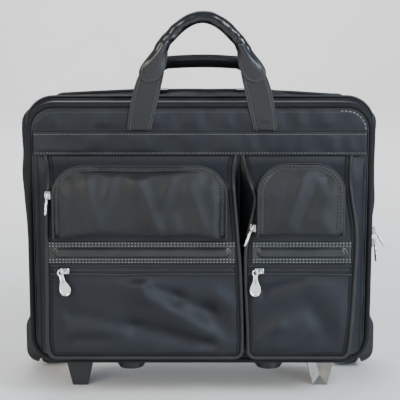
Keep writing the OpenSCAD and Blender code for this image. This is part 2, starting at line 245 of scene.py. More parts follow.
MATS = {
    "nylon": nylon("nylon", (0.0032, 0.0042, 0.0072), (0.0072, 0.0088, 0.0122)),
    # painted shade: a darker copy of the front nylon for the main compartment, so that its lit top comes out
    # dark as if in shade
    "case_nylon": nylon("case_nylon", (0.0018, 0.0023, 0.004), (0.004, 0.005, 0.0075), 0.7, gloss=0.04),
    "nylon_soft": nylon("nylon_soft", (0.0055, 0.0062, 0.0075), (0.0108, 0.0115, 0.012), 0.52),
    "nylon_dark": nylon("nylon_dark", (0.003, 0.0035, 0.006), (0.006, 0.007, 0.011), 0.5, gloss=0.3),
    "lining": nylon("lining", (0.035, 0.037, 0.042), (0.055, 0.057, 0.062), 0.6, 0.0011),
    "strap": nylon("strap", (0.0085, 0.0092, 0.0098), (0.0145, 0.015, 0.0148), 0.5),
    "strap_edge": nylon("strap_edge", (0.020, 0.021, 0.022), (0.036, 0.037, 0.037), 0.5, 0.001),
    "welt": nylon("welt", (0.0048, 0.0052, 0.0062), (0.0095, 0.010, 0.0105), 0.62, gloss=0.18),
    "edge": nylon("edge", (0.009, 0.0095, 0.0105), (0.016, 0.0165, 0.0165), 0.5),
    "seam_band": nylon("seam_band", (0.014, 0.0145, 0.0148), (0.022, 0.0225, 0.022), 0.5),
    "leather": leather("leather", (0.005, 0.005, 0.0055), (0.010, 0.010, 0.011), 0.3),
    "grip_leather": leather("grip_leather", (0.003, 0.003, 0.0035), (0.007, 0.007, 0.008), 0.27, 0.00005),
    "tab_leather": leather("tab_leather", (0.0045, 0.005, 0.0055), (0.009, 0.0095, 0.010), 0.25, 0.00003),
    "trim_leather": leather("trim_leather", (0.008, 0.0092, 0.0085), (0.0145, 0.016, 0.0145), 0.3, 0.0001),
    "piping": leather("piping", (0.004, 0.004, 0.005), (0.009, 0.009, 0.01), 0.4, 0.0001),
    "tape": nylon("tape", (0.004, 0.0045, 0.007), (0.008, 0.009, 0.012), 0.6, 0.001),
    "coil": plastic("coil", (0.016, 0.017, 0.020), (0.028, 0.029, 0.033), 0.35),
    "thread": plastic("thread", (0.13, 0.13, 0.12), (0.22, 0.22, 0.20), 0.6, 3000, 0.00005),
    "lace": plastic("lace", (0.002, 0.002, 0.003), (0.004, 0.004, 0.005), 0.5, 3000, 0.00005),
    "dark_thread": plastic("dark_thread", (0.045, 0.046, 0.045), (0.08, 0.08, 0.075), 0.6, 3000, 0.00005),
    "base_plastic": plastic("base_plastic", (0.008, 0.0085, 0.009), (0.015, 0.0155, 0.0165), 0.4),
    "grip_plastic": plastic("grip_plastic", (0.007, 0.007, 0.008), (0.013, 0.013, 0.0145), 0.3, 900),
    "floor": floor_material(),
    # painted reflection: the right leg is the same black plastic as the left, and this silver stands in for
    # the window light it catches
    "silver_leg": metal("silver_leg", (0.16, 0.155, 0.14), (0.38, 0.365, 0.32), 0.24),
    "tube": metal("tube", (0.33, 0.34, 0.36), (0.46, 0.47, 0.49), 0.28),
    "steel": metal("steel", (0.45, 0.45, 0.46), (0.6, 0.6, 0.6), 0.32),
    "nickel": metal("nickel", (0.78, 0.77, 0.74), (0.92, 0.91, 0.88), 0.2),
    "rubber": plastic("rubber", (0.008, 0.008, 0.008), (0.016, 0.016, 0.016), 0.7, 700, 0.0002),
    "hub": plastic("hub", (0.08, 0.08, 0.085), (0.13, 0.13, 0.135), 0.4),
}


# ---------------------------------------------------------------- mesh helpers
def face_outwards(mesh):
    work = bmesh.new()
    work.from_mesh(mesh)
    bmesh.ops.recalc_face_normals(work, faces=work.faces)
    work.to_mesh(mesh)
    work.free()
    mesh.update()


def piece(name, verts, faces, mat, body, hides=(), smooth=True):
    """A mesh in millimetres, turned to metres, riding on a CAD body."""
    mesh = bpy.data.meshes.new(name)
    mesh.from_pydata((np.asarray(verts, float) * MM).tolist(), [], faces)
    mesh.validate()
    face_outwards(mesh)
    obj = bpy.data.objects.new(name, mesh)
    bpy.context.collection.objects.link(obj)
    mesh.polygons.foreach_set("use_smooth", [smooth] * len(mesh.polygons))
    mesh.materials.append(MATS[mat])
    if body:
        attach(obj, body)
    if hides:
        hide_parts(*hides)
    return obj


def smooth_curve(points, step=3.0):
    """Even points along a Catmull-Rom curve through the given points."""
    p = np.asarray(points, float)
    p = np.vstack([2 * p[0] - p[1], p, 2 * p[-1] - p[-2]])
    out = []
    for i in range(1, len(p) - 2):
        t = np.linspace(0, 1, 16, endpoint=False)[:, None]
        a, b, c, d = p[i - 1], p[i], p[i + 1], p[i + 2]
        out.append(0.5 * (2 * b + (c - a) * t + (2 * a - 5 * b + 4 * c - d) * t**2
                          + (3 * b - a - 3 * c + d) * t**3))
    out.append(p[-2:-1])
    return even(np.vstack(out), step)


def run_of(path):
    """How far along a polyline each of its points lies."""
    return np.concatenate([[0], np.cumsum(np.linalg.norm(np.diff(path, axis=0), axis=1))])


def rows_at(rows, run, at):
    """Rows of numbers given at run, read off at other places along it."""
    return np.stack([np.interp(at, run, rows[:, k]) for k in range(rows.shape[1])], 1)


def resample(path, n):
    run = run_of(path)
    return rows_at(path, run, np.linspace(0, run[-1], n))


def even(points, step):
    """The same polyline with points about step apart."""
    p = np.asarray(points, float)
    return resample(p, max(2, int(round(run_of(p)[-1] / step)) + 1))


def round_outline(x, z, radii, step=4.0):
    """Closed x-z outline that runs up its left side. The radii start at the bottom left, as it does."""
    corners = [(x[0], z[0], radii[0], 270, 180), (x[0], z[1], radii[1], 180, 90),
               (x[1], z[1], radii[2], 90, 0), (x[1], z[0], radii[3], 0, -90)]
    pts = []
    for cx, cz, r, a0, a1 in corners:
        ox = cx + (r if cx == x[0] else -r)
        oz = cz + (r if cz == z[0] else -r)
        for a in np.radians(np.linspace(a0, a1, 10)):
            pts.append((ox + r * math.cos(a), oz + r * math.sin(a)))
    pts.append(pts[0])
    return even(pts, step)[:-1]


def quads(rows, cols, wrap):
    faces = []
    for i in range(rows - 1):
        for j in range(cols if wrap else cols - 1):
            k = (j + 1) % cols
            faces.append((i * cols + j, i * cols + k, (i + 1) * cols + k, (i + 1) * cols + j))
    return faces


def rings_to_mesh(rings, cap_start=False, cap_end=False):
    n = len(rings[0])
    verts = np.vstack(rings)
    faces = quads(len(rings), n, True)
    for cap, first in ((cap_start, 0), (cap_end, (len(rings) - 1) * n)):
        if cap:
            verts = np.vstack([verts, verts[first:first + n].mean(0)])
            tip = len(verts) - 1
            faces += [(first + j, first + (j + 1) % n, tip) for j in range(n)]
    return verts, faces


def cap_rings(edge, steps, face_y, middle=None):
    """Rings from an edge ring in towards its middle, their y given by face_y(x, z)."""
    c = edge[:, [0, 2]].mean(0) if middle is None else np.array(middle)
    out = []
    for s in np.linspace(1, 0, steps + 1)[1:-1]:
        xz = c + (edge[:, [0, 2]] - c) * s
        y = face_y(xz[:, 0], xz[:, 1])
        out.append(np.stack([xz[:, 0], y, xz[:, 1]], 1))
    return out


def sweep(centres, wide, half_w, half_t, power=2.0, n=20, thick=(0, 1, 0), closed=False):
    """A tube along centres, or a loop if closed, with its direction of width and its half sizes at each."""
    c = np.asarray(centres, float)
    m = len(c)
    w = np.broadcast_to(np.asarray(wide, float), (m, 3))
    t = np.broadcast_to(np.asarray(thick, float), (m, 3))
    a = np.linspace(0, 2 * math.pi, n, endpoint=False)
    u = np.sign(np.cos(a)) * np.abs(np.cos(a)) ** (2 / power)
    v = np.sign(np.sin(a)) * np.abs(np.sin(a)) ** (2 / power)
    hw = np.broadcast_to(np.asarray(half_w, float), (m,))
    ht = np.broadcast_to(np.asarray(half_t, float), (m,))
    rings = [c[i] + np.outer(u * hw[i], w[i]) + np.outer(v * ht[i], t[i]) for i in range(m)]
    if closed:
        verts, faces = rings_to_mesh(rings + rings[:1])
        first = m * n
        return verts[:first], [tuple(i % first for i in face) for face in faces]
    return rings_to_mesh(rings, True, True)


def in_plane_normals(c):
    """Unit vectors in the x-z plane square to a path in that plane."""
    d = np.gradient(np.asarray(c, float), axis=0)
    nrm = np.stack([-d[:, 2], np.zeros(len(d)), d[:, 0]], 1)
    return nrm / np.linalg.norm(nrm, axis=1)[:, None]


def closed_strip(rows):
    """A strip closed round its section: rows of points, the last joined to the first, ends capped."""
    n, m = len(rows[0]), len(rows)
    faces = []
    for i in range(m):
        k = (i + 1) % m
        faces += [(i * n + j, i * n + j + 1, k * n + j + 1, k * n + j) for j in range(n - 1)]
    faces += [tuple(i * n for i in range(m)), tuple(i * n + n - 1 for i in reversed(range(m)))]
    return np.vstack(rows), faces


def joined(parts):
    """One mesh from several (verts, faces)."""
    verts, faces, start = [], [], 0
    for v, f in parts:
        verts.append(v)
        faces += [tuple(i + start for i in face) for face in f]
        start += len(v)
    return np.vstack(verts), faces


def rounded_block(x, y, z, r=1.0):
    """A box with rounded edges."""
    lo, hi = np.array([x[0], y[0], z[0]], float), np.array([x[1], y[1], z[1]], float)
    ring = round_outline((lo[0], hi[0]), (lo[2], hi[2]), (r,) * 4, 1.2 if hi[0] - lo[0] < 40 else 4)
    mid = np.array([(lo[0] + hi[0]) / 2, (lo[2] + hi[2]) / 2])
    rings = []
    for a in np.radians([-90, -60, -30, 0]):
        s = r * (1 - math.cos(a))
        rings.append((lo[1] + r * (1 + math.sin(a)), s))
    for a in np.radians([0, 30, 60, 90]):
        rings.append((hi[1] - r * (1 - math.sin(a)), r * (1 - math.cos(a))))
    out = []
    size = np.array([hi[0] - lo[0], hi[2] - lo[2]]) / 2
    for yy, s in rings:
        xz = mid + (ring - mid) * (1 - s / size)
        out.append(np.stack([xz[:, 0], np.full(len(xz), yy), xz[:, 1]], 1))
    return rings_to_mesh(out, True, True)


def apply_modifiers(obj):
    bpy.context.view_layer.update()
    baked = bpy.data.meshes.new_from_object(obj.evaluated_get(bpy.context.evaluated_depsgraph_get()))
    obj.modifiers.clear()
    obj.data = baked
    return obj


def bevel(obj, width=0.5, segments=2):
    mod = obj.modifiers.new("edges", "BEVEL")
    mod.width = width * MM
    mod.segments = segments
    mod.limit_method = "ANGLE"
    return apply_modifiers(obj)


def plate(gx, gz, front, thickness=None, back_y=None):
    """A closed plate: a grid of front points, and the same grid thickness behind it or level at back_y."""
    rows, cols = gx.shape
    back = front + thickness if back_y is None else np.full_like(front, float(back_y))
    verts = np.vstack([np.stack([g.ravel() for g in (gx, y, gz)], 1) for y in (front, back)])
    n = rows * cols
    face = quads(rows, cols, False)
    faces = face + [tuple(n + i for i in reversed(f)) for f in face]
    rim = [j for j in range(cols)] + [i * cols + cols - 1 for i in range(1, rows)]
    rim += [(rows - 1) * cols + j for j in range(cols - 2, -1, -1)] + [i * cols for i in range(rows - 2, 0,
                                                                                               -1)]
    faces += [(a, n + a, n + b, b) for a, b in zip(rim, rim[1:] + rim[:1])]
    return verts, faces


def tree_of(objs):
    """A search tree of some pieces' surfaces, in metres."""
    verts, faces = [], []
    for obj in objs:
        start = len(verts)
        verts += [obj.matrix_world @ v.co for v in obj.data.vertices]
        faces += [tuple(i + start for i in p.vertices) for p in obj.data.polygons]
    return BVHTree.FromPolygons(verts, faces)


def drop_on(tree, x, z, start_y=-300.0):
    """Where a ray from the front meets the surface: (point, normal) in millimetres, or None."""
    hit, nrm, _, _ = tree.ray_cast(Vector((x, start_y, z)) * MM, Vector((0, 1, 0)))
    if hit is None:
        return None
    if nrm.y > 0:
        nrm = -nrm
    return np.array(hit) / MM, np.array(nrm)


STITCH_PITCH = 3.3
STITCH_LEN = 2.1
STITCH_W = 1.05


def stitch_mesh(places, length=STITCH_LEN, width=STITCH_W):
    """places: (point, direction, normal) of each stitch."""
    n = 6
    parts = []
    for point, along, nrm in places:
        along = along / (np.linalg.norm(along) + 1e-9)
        side = np.cross(along, nrm)
        rings = []
        for s, r in ((-1, 0.35), (-0.6, 1), (0, 1.15), (0.6, 1), (1, 0.35)):
            c = point + along * (s * length / 2) - nrm * (0.25 * abs(s) * width)
            a = np.linspace(0, 2 * math.pi, n, endpoint=False)
            rings.append(c + r * width / 2 * (np.outer(np.cos(a), side) + np.outer(np.sin(a), nrm)))
        parts.append(rings_to_mesh(rings, True, True))
    return joined(parts)


def sew(name, tree, paths, body, mat="thread", pitch=STITCH_PITCH, length=STITCH_LEN, width=STITCH_W):
    """Rows of stitches along x-z paths, laid on a surface seen from the front."""
    places = []
    for path in paths:
        pts = even(path, pitch)
        d = np.gradient(pts, axis=0)
        for (x, z), (dx, dz) in zip(pts, d):
            hit = drop_on(tree, x, z)
            if hit is None:
                continue
            p, nrm = hit
            along = np.array([dx, 0, dz])
            along = along - nrm * np.dot(along, nrm)
            places.append((p + nrm * 0.1, along, nrm))
    return piece(name, *stitch_mesh(places, length, width), mat, body)


def fold(x, z, a, b, width, height):
    """A soft ridge, or a valley if height is negative, along the line from a to b."""
    a, b = np.array(a, float), np.array(b, float)
    d = b - a
    t = np.clip(((x - a[0]) * d[0] + (z - a[1]) * d[1]) / (d @ d), 0, 1)
    off = np.hypot(x - a[0] - t * d[0], z - a[1] - t * d[1])
    return height * np.exp(-0.5 * (off / width) ** 2)


def folds(x, z, table):
    return sum(fold(x, z, *row) for row in table)


def ripple(x, z, scale, height, seed):
    """Gentle uneven waves."""
    return np.array([height * noise.noise(Vector((a / scale, b / scale, seed))) for a,
                     b in zip(np.ravel(x), np.ravel(z))]
                    ).reshape(np.shape(x))


def ease(t):
    t = np.clip(t, 0, 1)
    return t * t * (3 - 2 * t)


def size_of(name):
    """Lowest and highest corner of a CAD node, in millimetres."""
    lo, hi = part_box(name)
    return np.array(lo) / MM, np.array(hi) / MM


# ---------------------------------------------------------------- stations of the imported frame
CASE_LO, CASE_HI = size_of("main_shell")
PANEL_LO, PANEL_HI = size_of("front_shell")
PANEL_DROP = 2.5
PANEL_HI[2] -= PANEL_DROP
HOUSING_LO, HOUSING_HI = size_of("wheel_housing_right")
STRIP_LO, STRIP_HI = size_of("seam_strip")
CASE_R, PANEL_R = 34, 32
CASE_FRONT, CASE_BACK = CASE_LO[1], CASE_HI[1]
PANEL_Y, PANEL_BACK = PANEL_LO[1], PANEL_HI[1]
POCKET_Y = size_of("bellows_left")[0][1]
POUCH_Y = size_of("pouch_left")[0][1]
ZIP_END_Z = size_of("main_zip_rear")[0][2]


def out_normals(ring):
    """Outward unit vectors of a closed x-z outline that runs up its left side."""
    d = np.roll(ring, -1, 0) - np.roll(ring, 1, 0)
    n = np.stack([-d[:, 1], d[:, 0]], 1)
    return n / np.linalg.norm(n, axis=1)[:, None]


def case_edge(step=4.0):
    return round_outline((CASE_LO[0], CASE_HI[0]), (CASE_LO[2], CASE_HI[2]), (CASE_R,) * 4, step)


def panel_edge(step=4.0):
    return round_outline((PANEL_LO[0], PANEL_HI[0]), (PANEL_LO[2], PANEL_HI[2]), (PANEL_R,) * 4, step)


def at_depth(ring, y):
    """A path in x and z, set at one depth, or x-z directions with y at 0."""
    return np.stack([ring[:, 0], np.full(len(ring), float(y)), ring[:, 1]], 1)


def solid_sheet(obj, thickness):
    """Gives an open sheet a real thickness, on its inner side."""
    mod = obj.modifiers.new("thickness", "SOLIDIFY")
    mod.thickness = thickness * MM
    mod.offset = -1
    mod.use_even_offset = False
    return apply_modifiers(obj)


# ---------------------------------------------------------------- main compartment
def case_outline(y, inset):
    """The soft outline of the main compartment at one depth."""
    t = (y - CASE_FRONT) / (CASE_BACK - CASE_FRONT)
    ring = case_edge()
    nrm = out_normals(ring)
    x, z = ring.T
    belly = math.sin(math.pi * np.clip(t, 0, 1)) ** 0.7
    side = np.abs(nrm[:, 0]) * np.where(x < 0, 1 + 12 * ease((z - 90) / 190), 2 + 8 * ease((z - 90) / 190))
    top = np.clip(nrm[:, 1], 0, 1)
    hump = 8 * np.exp(-((x - 86) / 32) ** 2) * ease(t * 1.6) * (1 - ease((t - 0.68) / 0.18))
    slump = -2 - 6 * np.clip((np.abs(x + 12) - 60) / 130, 0, 1) ** 1.4
    corner = 4 * (nrm[:, 0] * nrm[:, 1]) ** 2 * ease((z - 200) / 100)
    out = belly * (side - top * 2 + ripple(x, z, 40, 3.0, y / 50)) + top * hump - inset
    out += (top * slump - 8 * corner) * ease(t * 2.5)
    ring = ring + nrm * out[:, None]
    if y > HOUSING_LO[1] - 1:
        ring = clear_of_housings(ring, inset)
    return ring


def clear_of_housings(ring, inset):
    x, z = ring.T
    inner, top = HOUSING_LO[0] - 2 - inset, HOUSING_HI[2] - 12 + inset
    low = (np.abs(x) > inner) & (z < top)
    beside = low & (np.abs(x) - inner < top - z)
    x = np.where(beside, np.sign(x) * inner, x)
    z = np.where(low & ~beside, top, z)
    return np.stack([x, z], 1)


def case_rings(inset):
    front = list(np.linspace(CASE_FRONT, HOUSING_LO[1] - 1.2, 15))
    back = list(np.linspace(HOUSING_LO[1] - 0.8, CASE_BACK - 3 - inset, 12))
    rings = [at_depth(case_outline(y, inset), y) for y in front + back]
    for a in np.radians([30, 60, 90]):
        y = CASE_BACK - 3 - inset + 3 * math.sin(a)
        rings.append(at_depth(case_outline(y, inset + 3 * (1 - math.cos(a))), y))
    wall = rings[-1][0, 1]
    rings += cap_rings(rings[-1], 26, lambda x, z: wall + 0 * x)
    return rings


def main_compartment():
    # the main compartment wears the darker copy of the nylon, which is painted shade
    body = piece("main_body", *rings_to_mesh(case_rings(0), cap_end=True), "case_nylon", "case",
                 ["main_shell"])
    solid_sheet(body, 1.0)
    lining = piece("main_lining", *rings_to_mesh(case_rings(1.3), cap_end=True), "lining", "case")
    solid_sheet(lining, 0.5)


def closed_welt(name, ring, y, half_w, half_t, mat, body, hides=()):
    """A roll sewn round a closed outline."""
    centres = at_depth(ring, y)
    nrm = out_normals(ring)
    wide = np.stack([nrm[:, 0], np.zeros(len(nrm)), nrm[:, 1]], 1)
    return piece(name, *sweep(centres, wide, half_w, half_t, closed=True), mat, body, hides)


def case_welts():
    """The corded seams at the front and back edges of the main compartment."""
    ring = case_edge(3)
    ring = ring + out_normals(ring) * 0.6
    closed_welt("case_front_welt", ring, CASE_FRONT + 3.2, 1.9, 1.9, "piping", "case")
    ring = case_outline(CASE_BACK - 2.5, -0.9)
    start = int(np.argmin(ring[:, 1] + ring[:, 0] * 1e-3))
    ring = np.roll(ring, -start, 0)
    arch = smooth_curve(np.array([p for p in ring if p[1] > HOUSING_HI[2] - 6])[::2], 3)
    centres = at_depth(arch, CASE_BACK - 2.0)
    piece("case_back_welt", *sweep(centres, in_plane_normals(centres), 2.3, 2.3, n=12), "piping", "case",
          ["rear_piping"])


# ---------------------------------------------------------------- front section
def panel_outline(y, inset, step=4.0):
    t = (y - PANEL_Y) / (PANEL_BACK - PANEL_Y)
    ring = panel_edge(step)
    return ring + out_normals(ring) * (3.2 * math.sin(math.pi * np.clip(t, 0, 1)) - inset)


def panel_face(x, z):
    """The sewn front face: soft waves above the seam, flat behind the pockets."""
    above = ease((z - STRIP_HI[2] - 2) / 12) * ease((PANEL_HI[2] - z) / 14)
    beside = ease((np.abs(x) - 186) / 10) * ease((STRIP_LO[2] - z) / 20)
    waves = ripple(x * 1.6, z * 0.5, 26, 2.6, 3.1) + 1.0 * np.sin(x / 9.0 + 2 * np.sin(x / 47))
    return PANEL_Y - 0.3 + above * (waves - 1.4) + beside * ripple(x, z, 30, 1.2, 5.0)


def panel_rings(inset):
    rings = [at_depth(panel_outline(y, inset), y) for y in np.linspace(PANEL_BACK, PANEL_Y + 3 + inset, 8)]
    for a in np.radians([30, 60, 90]):
        y = PANEL_Y + inset + 3 * (1 - math.sin(a))
        rings.append(at_depth(panel_outline(y, inset + 3 * (1 - math.cos(a))), y))
    rings += cap_rings(rings[-1], 60, lambda x, z: panel_face(x, z) + inset)
    return rings


def front_section():
    shell = piece("front_panel", *rings_to_mesh(panel_rings(0), cap_end=True), "nylon", "front_section",
                  ["front_shell"])
    solid_sheet(shell, 1.0)
    lining = piece("front_lining", *rings_to_mesh(panel_rings(1.3), cap_end=True), "lining", "front_section")
    solid_sheet(lining, 0.5)
    edge = panel_edge(3)
    roll = edge + out_normals(edge) * 0.1
    closed_welt("front_welt", roll, PANEL_Y + 1.6, 3.9, 4.0, "welt", "front_section", ["front_piping"])
    cord_line = edge - out_normals(edge) * 4.4
    closed_welt("front_welt_seam", cord_line, PANEL_Y - 0.3, 0.8, 0.8, "piping", "front_section")
    back = edge + out_normals(edge) * 0.6
    closed_welt("front_back_welt", back, PANEL_BACK - 2.2, 1.7, 1.7, "piping", "front_section")
    return shell


def seam_band():
    """The folded band over the pocket tops."""
    xs = np.linspace(STRIP_LO[0] - 1.5, STRIP_HI[0] + 1.5, 150)
    zs = np.concatenate([[STRIP_LO[2], STRIP_LO[2] + 0.6], np.linspace(STRIP_LO[2] + 2, STRIP_HI[2] - 2, 12),
                         [STRIP_HI[2] - 0.6, STRIP_HI[2]]])
    gx, gz = np.meshgrid(xs, zs)
    middle = ease((gz - STRIP_LO[2]) / 9) * ease((STRIP_HI[2] - gz) / 9)
    soft = ripple(gx * 1.3, gz * 0.45, 24, 2.2, 8.4) + fold(gx, gz, (-196, 322), (-150, 318), 4, 1.5)
    soft += fold(gx, gz, (60, 338), (64, 316), 5, 2.0) + fold(gx, gz, (183, 338), (190, 316), 5, 1.6)
    soft += fold(gx, gz, (-72, 340), (-60, 318), 7, 1.2) - fold(gx, gz, (78, 342), (76, 316), 5, 1.4)
    front = STRIP_LO[1] - 0.6 - middle * (0.7 + soft)
    band = piece("seam_band", *plate(gx, gz, front, 1.2), "nylon", "front_section", ["seam_strip"])
    tree = tree_of([band])
    rows = [[(xs[0] + 2, z), (xs[-1] - 2, z)] for z in (STRIP_HI[2] - 2.2, STRIP_LO[2] + 2.2)]
    sew("seam_band_stitches", tree, rows, "front_section", "thread", 3.8, 2.1, 0.9)
    for name, z in (("upper", STRIP_HI[2]), ("lower", STRIP_LO[2])):
        line = even([(xs[0], STRIP_LO[1] - 0.7, z), (xs[-1], STRIP_LO[1] - 0.7, z)], 4)
        line[:, 2] += ripple(line[:, 0], line[:, 0] * 0, 60, 0.7, z)
        piece(f"seam_band_{name}_edge", *sweep(line, (0, 0, 1), 0.8, 0.8, n=8), "edge", "front_section")


# ---------------------------------------------------------------- pockets
POCKETS = {
    "left": {
        "base": (-205, 48),
        "left": [(315, -194), (290, -188), (270, -187.5), (225, -190), (140, -191), (85, -192), (66, -190)],
        "right": [(315, 45), (290, 41), (225, 46), (176, 50), (100, 53), (66, 53)],
        "folds": [((-162, 115), (-84, 100), 7, 4.5), ((-84, 100), (10, 78), 8, 6),
                  ((10, 78), (50, 66), 7, 4),
                  ((-76, 153), (26, 78), 13, -7), ((-60, 152), (-29, 137), 7, 5),
                  ((-29, 137), (10, 118), 8, 5.5),
                  ((10, 118), (32, 90), 9, 5), ((21, 143), (34, 132), 8, -4),
                  ((-170, 112), (-90, 100), 7, -3),
                  ((-160, 94), (-120, 92), 7, -3), ((-150, 84), (-120, 86), 6, 3),
                  ((-70, 158), (-66, 140), 7, -3)],
    },
    "right": {
        "base": (50, 207),
        "left": [(315, 53), (290, 60), (268, 68), (252, 67), (209, 58), (170, 57), (100, 60), (66, 61)],
        "right": [(315, 190), (290, 186), (270, 187), (225, 194), (180, 194), (94, 190), (66, 187)],
        "folds": [((81, 145), (121, 160), 6, 4), ((65, 75), (99, 101), 8, -4),
                  ((99, 101), (132, 110), 9, -3),
                  ((99, 75), (138, 96), 9, -3), ((150, 150), (178, 120), 14, -3),
                  ((140, 120), (160, 90), 10, 3)],
    },
}
POCKET_FOOT = 60
POCKET_TOP = STRIP_LO[2]
BASE_FOOT = 54


def pocket_slope(z):
    return PANEL_Y - 1 + (POCKET_Y - PANEL_Y + 0.5) * ease((POCKET_TOP - z) / 40)


def pocket_side(pocket, side, z):
    table = np.array(sorted(pocket[side]), float)
    line = smooth_curve(table[:, ::-1], 2)
    return np.interp(z, line[:, 1], line[:, 0])


def pocket_ring(pocket):
    """The closed edge of a pocket's front face in x and z, and the part of it that is bound."""
    r = 9
    heights = np.linspace(POCKET_FOOT + r, POCKET_TOP, 80)
    left = [(pocket_side(pocket, "left", z), z) for z in heights]
    right = [(pocket_side(pocket, "right", z), z) for z in heights[::-1]]
    x0, x1 = left[0][0], right[-1][0]
    turn = np.radians(np.linspace(0, 90, 8))
    foot_left = [(x0 + r - r * math.sin(a), POCKET_FOOT + r - r * math.cos(a)) for a in turn]
    foot_right = [(x1 - r + r * math.cos(a), POCKET_FOOT + r - r * math.sin(a)) for a in turn]
    pts = foot_left + left + right + foot_right
    ring = even(pts + pts[:1], 3.0)[:-1]
    open_edge = even(left[::-1] + foot_left[::-1] + foot_right[::-1] + right[::-1], 3.0)
    return ring, open_edge


def pocket_face(pocket, x, z):
    """Depth of the soft face: slope under the seam, folds below the zip, and a slight crown."""
    lo, hi = pocket_side(pocket, "left", z), pocket_side(pocket, "right", z)
    across = np.clip((x - lo) / (hi - lo), 0, 1)
    up = np.clip((z - POCKET_FOOT) / 110, 0, 1)
    crown = (4 * across * (1 - across)) ** 0.5 * (4 * up * (1 - up)) ** 0.5
    below = ease((168 - z) / 14)
    near_edge = ease(np.minimum(x - lo, hi - x) / 16) * ease((z - POCKET_FOOT) / 14)
    soft = folds(x, z, pocket["folds"]) + ripple(x, z, 60, 1.6, 2.2) - 2.2 * crown
    return pocket_slope(z) + near_edge * below * soft


def pocket_walls(pocket, ring):
    """Rings from the face edge back to the panel, pleated inwards half way."""
    x, z = ring.T
    lo, hi = pocket_side(pocket, "left", z), pocket_side(pocket, "right", z)
    share = np.clip((x - lo) / (hi - lo), 0, 1)
    foot = (POCKET_TOP - z) / (POCKET_TOP - POCKET_FOOT)
    base = np.stack([pocket["base"][0] + share * (pocket["base"][1] - pocket["base"][0]),
                     POCKET_TOP - foot * (POCKET_TOP - BASE_FOOT)], 1)
    face_y = pocket_face(pocket, x, z)
    nrm = out_normals(ring)
    rings = []
    for f in np.linspace(1, 0, 12):
        pleat = 7 * math.sin(math.pi * f) ** 1.5
        waves = 1.6 * math.sin(math.pi * f) * ripple(x, z, 18, 1.0, 7 + f)
        xz = ring + (base - ring) * f - nrm * (pleat + waves)[:, None] * np.array([1.0, 0.4])
        y = face_y + (PANEL_Y - 0.2 - face_y) * f
        rings.append(np.stack([xz[:, 0], y, xz[:, 1]], 1))
    return rings


def pocket_shell(side):
    pocket = POCKETS[side]
    ring, open_edge = pocket_ring(pocket)
    rings = pocket_walls(pocket, ring)
    middle = np.array([ring[:, 0].mean(), 150.0])
    face = cap_rings(rings[-1], 56, lambda x, z: pocket_face(pocket, x, z), middle)
    obj = piece(f"pocket_{side}", *rings_to_mesh(rings + face, cap_start=True, cap_end=True), "nylon",
                "front_section", [f"bellows_{side}"])
    return obj, open_edge


def pocket_seams(side, path, tree):
    """The bound edge down both sides and along the foot, with its stitches."""
    pocket = POCKETS[side]
    y = pocket_face(pocket, path[:, 0], path[:, 1])
    centres = np.stack([path[:, 0], y - 0.4, path[:, 1]], 1)
    wide = in_plane_normals(centres)
    piece(f"pocket_{side}_binding", *sweep(centres, wide, 2.3, 2.5, n=12), "edge", "front_section")
    inwards = np.stack([wide[:, 0], wide[:, 2]], 1) * -inner_sign(path, wide)
    band = band_on(f"pocket_{side}_seam", tree, path + inwards * 4.6, 2.6, 0.5, "welt", "front_section")
    sew(f"pocket_{side}_stitches", tree_of([band]), [path + inwards * 4.6], "front_section", "lace", 3.6,
        2.0, 1.3)


def band_on(name, tree, path, half, lift, mat, body):
    """A flat turned-in seam allowance that follows a surface seen from the front."""
    centres = []
    for x, z in even(path, 3.0):
        hit = drop_on(tree, x, z)
        if hit is not None:
            centres.append(hit[0])
    centres = np.array(centres)
    for _ in range(2):
        centres[1:-1, 1] = (centres[:-2, 1] + centres[1:-1, 1] + centres[2:, 1]) / 3
    return piece(name, *sweep(centres, in_plane_normals(centres), half, lift, power=3.0, n=12), mat, body)


def inner_sign(path, wide):
    """+1 where the normals point away from the middle of the path, -1 where they point at it."""
    away = path - path.mean(0)
    return 1.0 if (away * wide[:, [0, 2]]).sum() > 0 else -1.0


# ---------------------------------------------------------------- pouches on the pockets
POUCHES = {
    "left": {"pocket": "left", "folds": [((-141, 288), (-129, 232), 6, 4),
                                         ((-106, 292), (-124, 243), 6, 3.5),
                                         ((-79, 292), (-50, 215), 7, 5), ((-35, 290), (-45, 260), 6, 3),
                                         ((-15, 280), (5, 230), 7, 3.5), ((-31, 240), (-29, 215), 5, 3),
                                         ((19, 281), (22, 215), 6, 3), ((-160, 285), (-156, 225), 7, 2)]},
    "right": {"pocket": "right", "folds": [((126, 294), (110, 236), 7, 3.5), ((143, 280), (122, 236), 6, -3),
                                           ((95, 285), (90, 240), 7, 1.5),
                                           ((150, 240), (165, 220), 8, 2.5)]},
}
POUCH_R = 37


def pouch_span(side):
    lo, hi = size_of(f"pouch_{side}")
    return (lo[0], hi[0]), (lo[2], hi[2])


def pouch_outline(side, inset=0.0, step=3.0):
    x, z = pouch_span(side)
    r = POUCH_R - inset
    return round_outline((x[0] + inset, x[1] - inset), (z[0] + inset, z[1] - inset), (3, r, r, 3), step)


def pouch_lean(z):
    """The pouch leans back with its pocket near the top."""
    return POUCH_Y + 2.5 + 7 * ease((z - 268) / 42)


CLOTH_FRAMES = 20


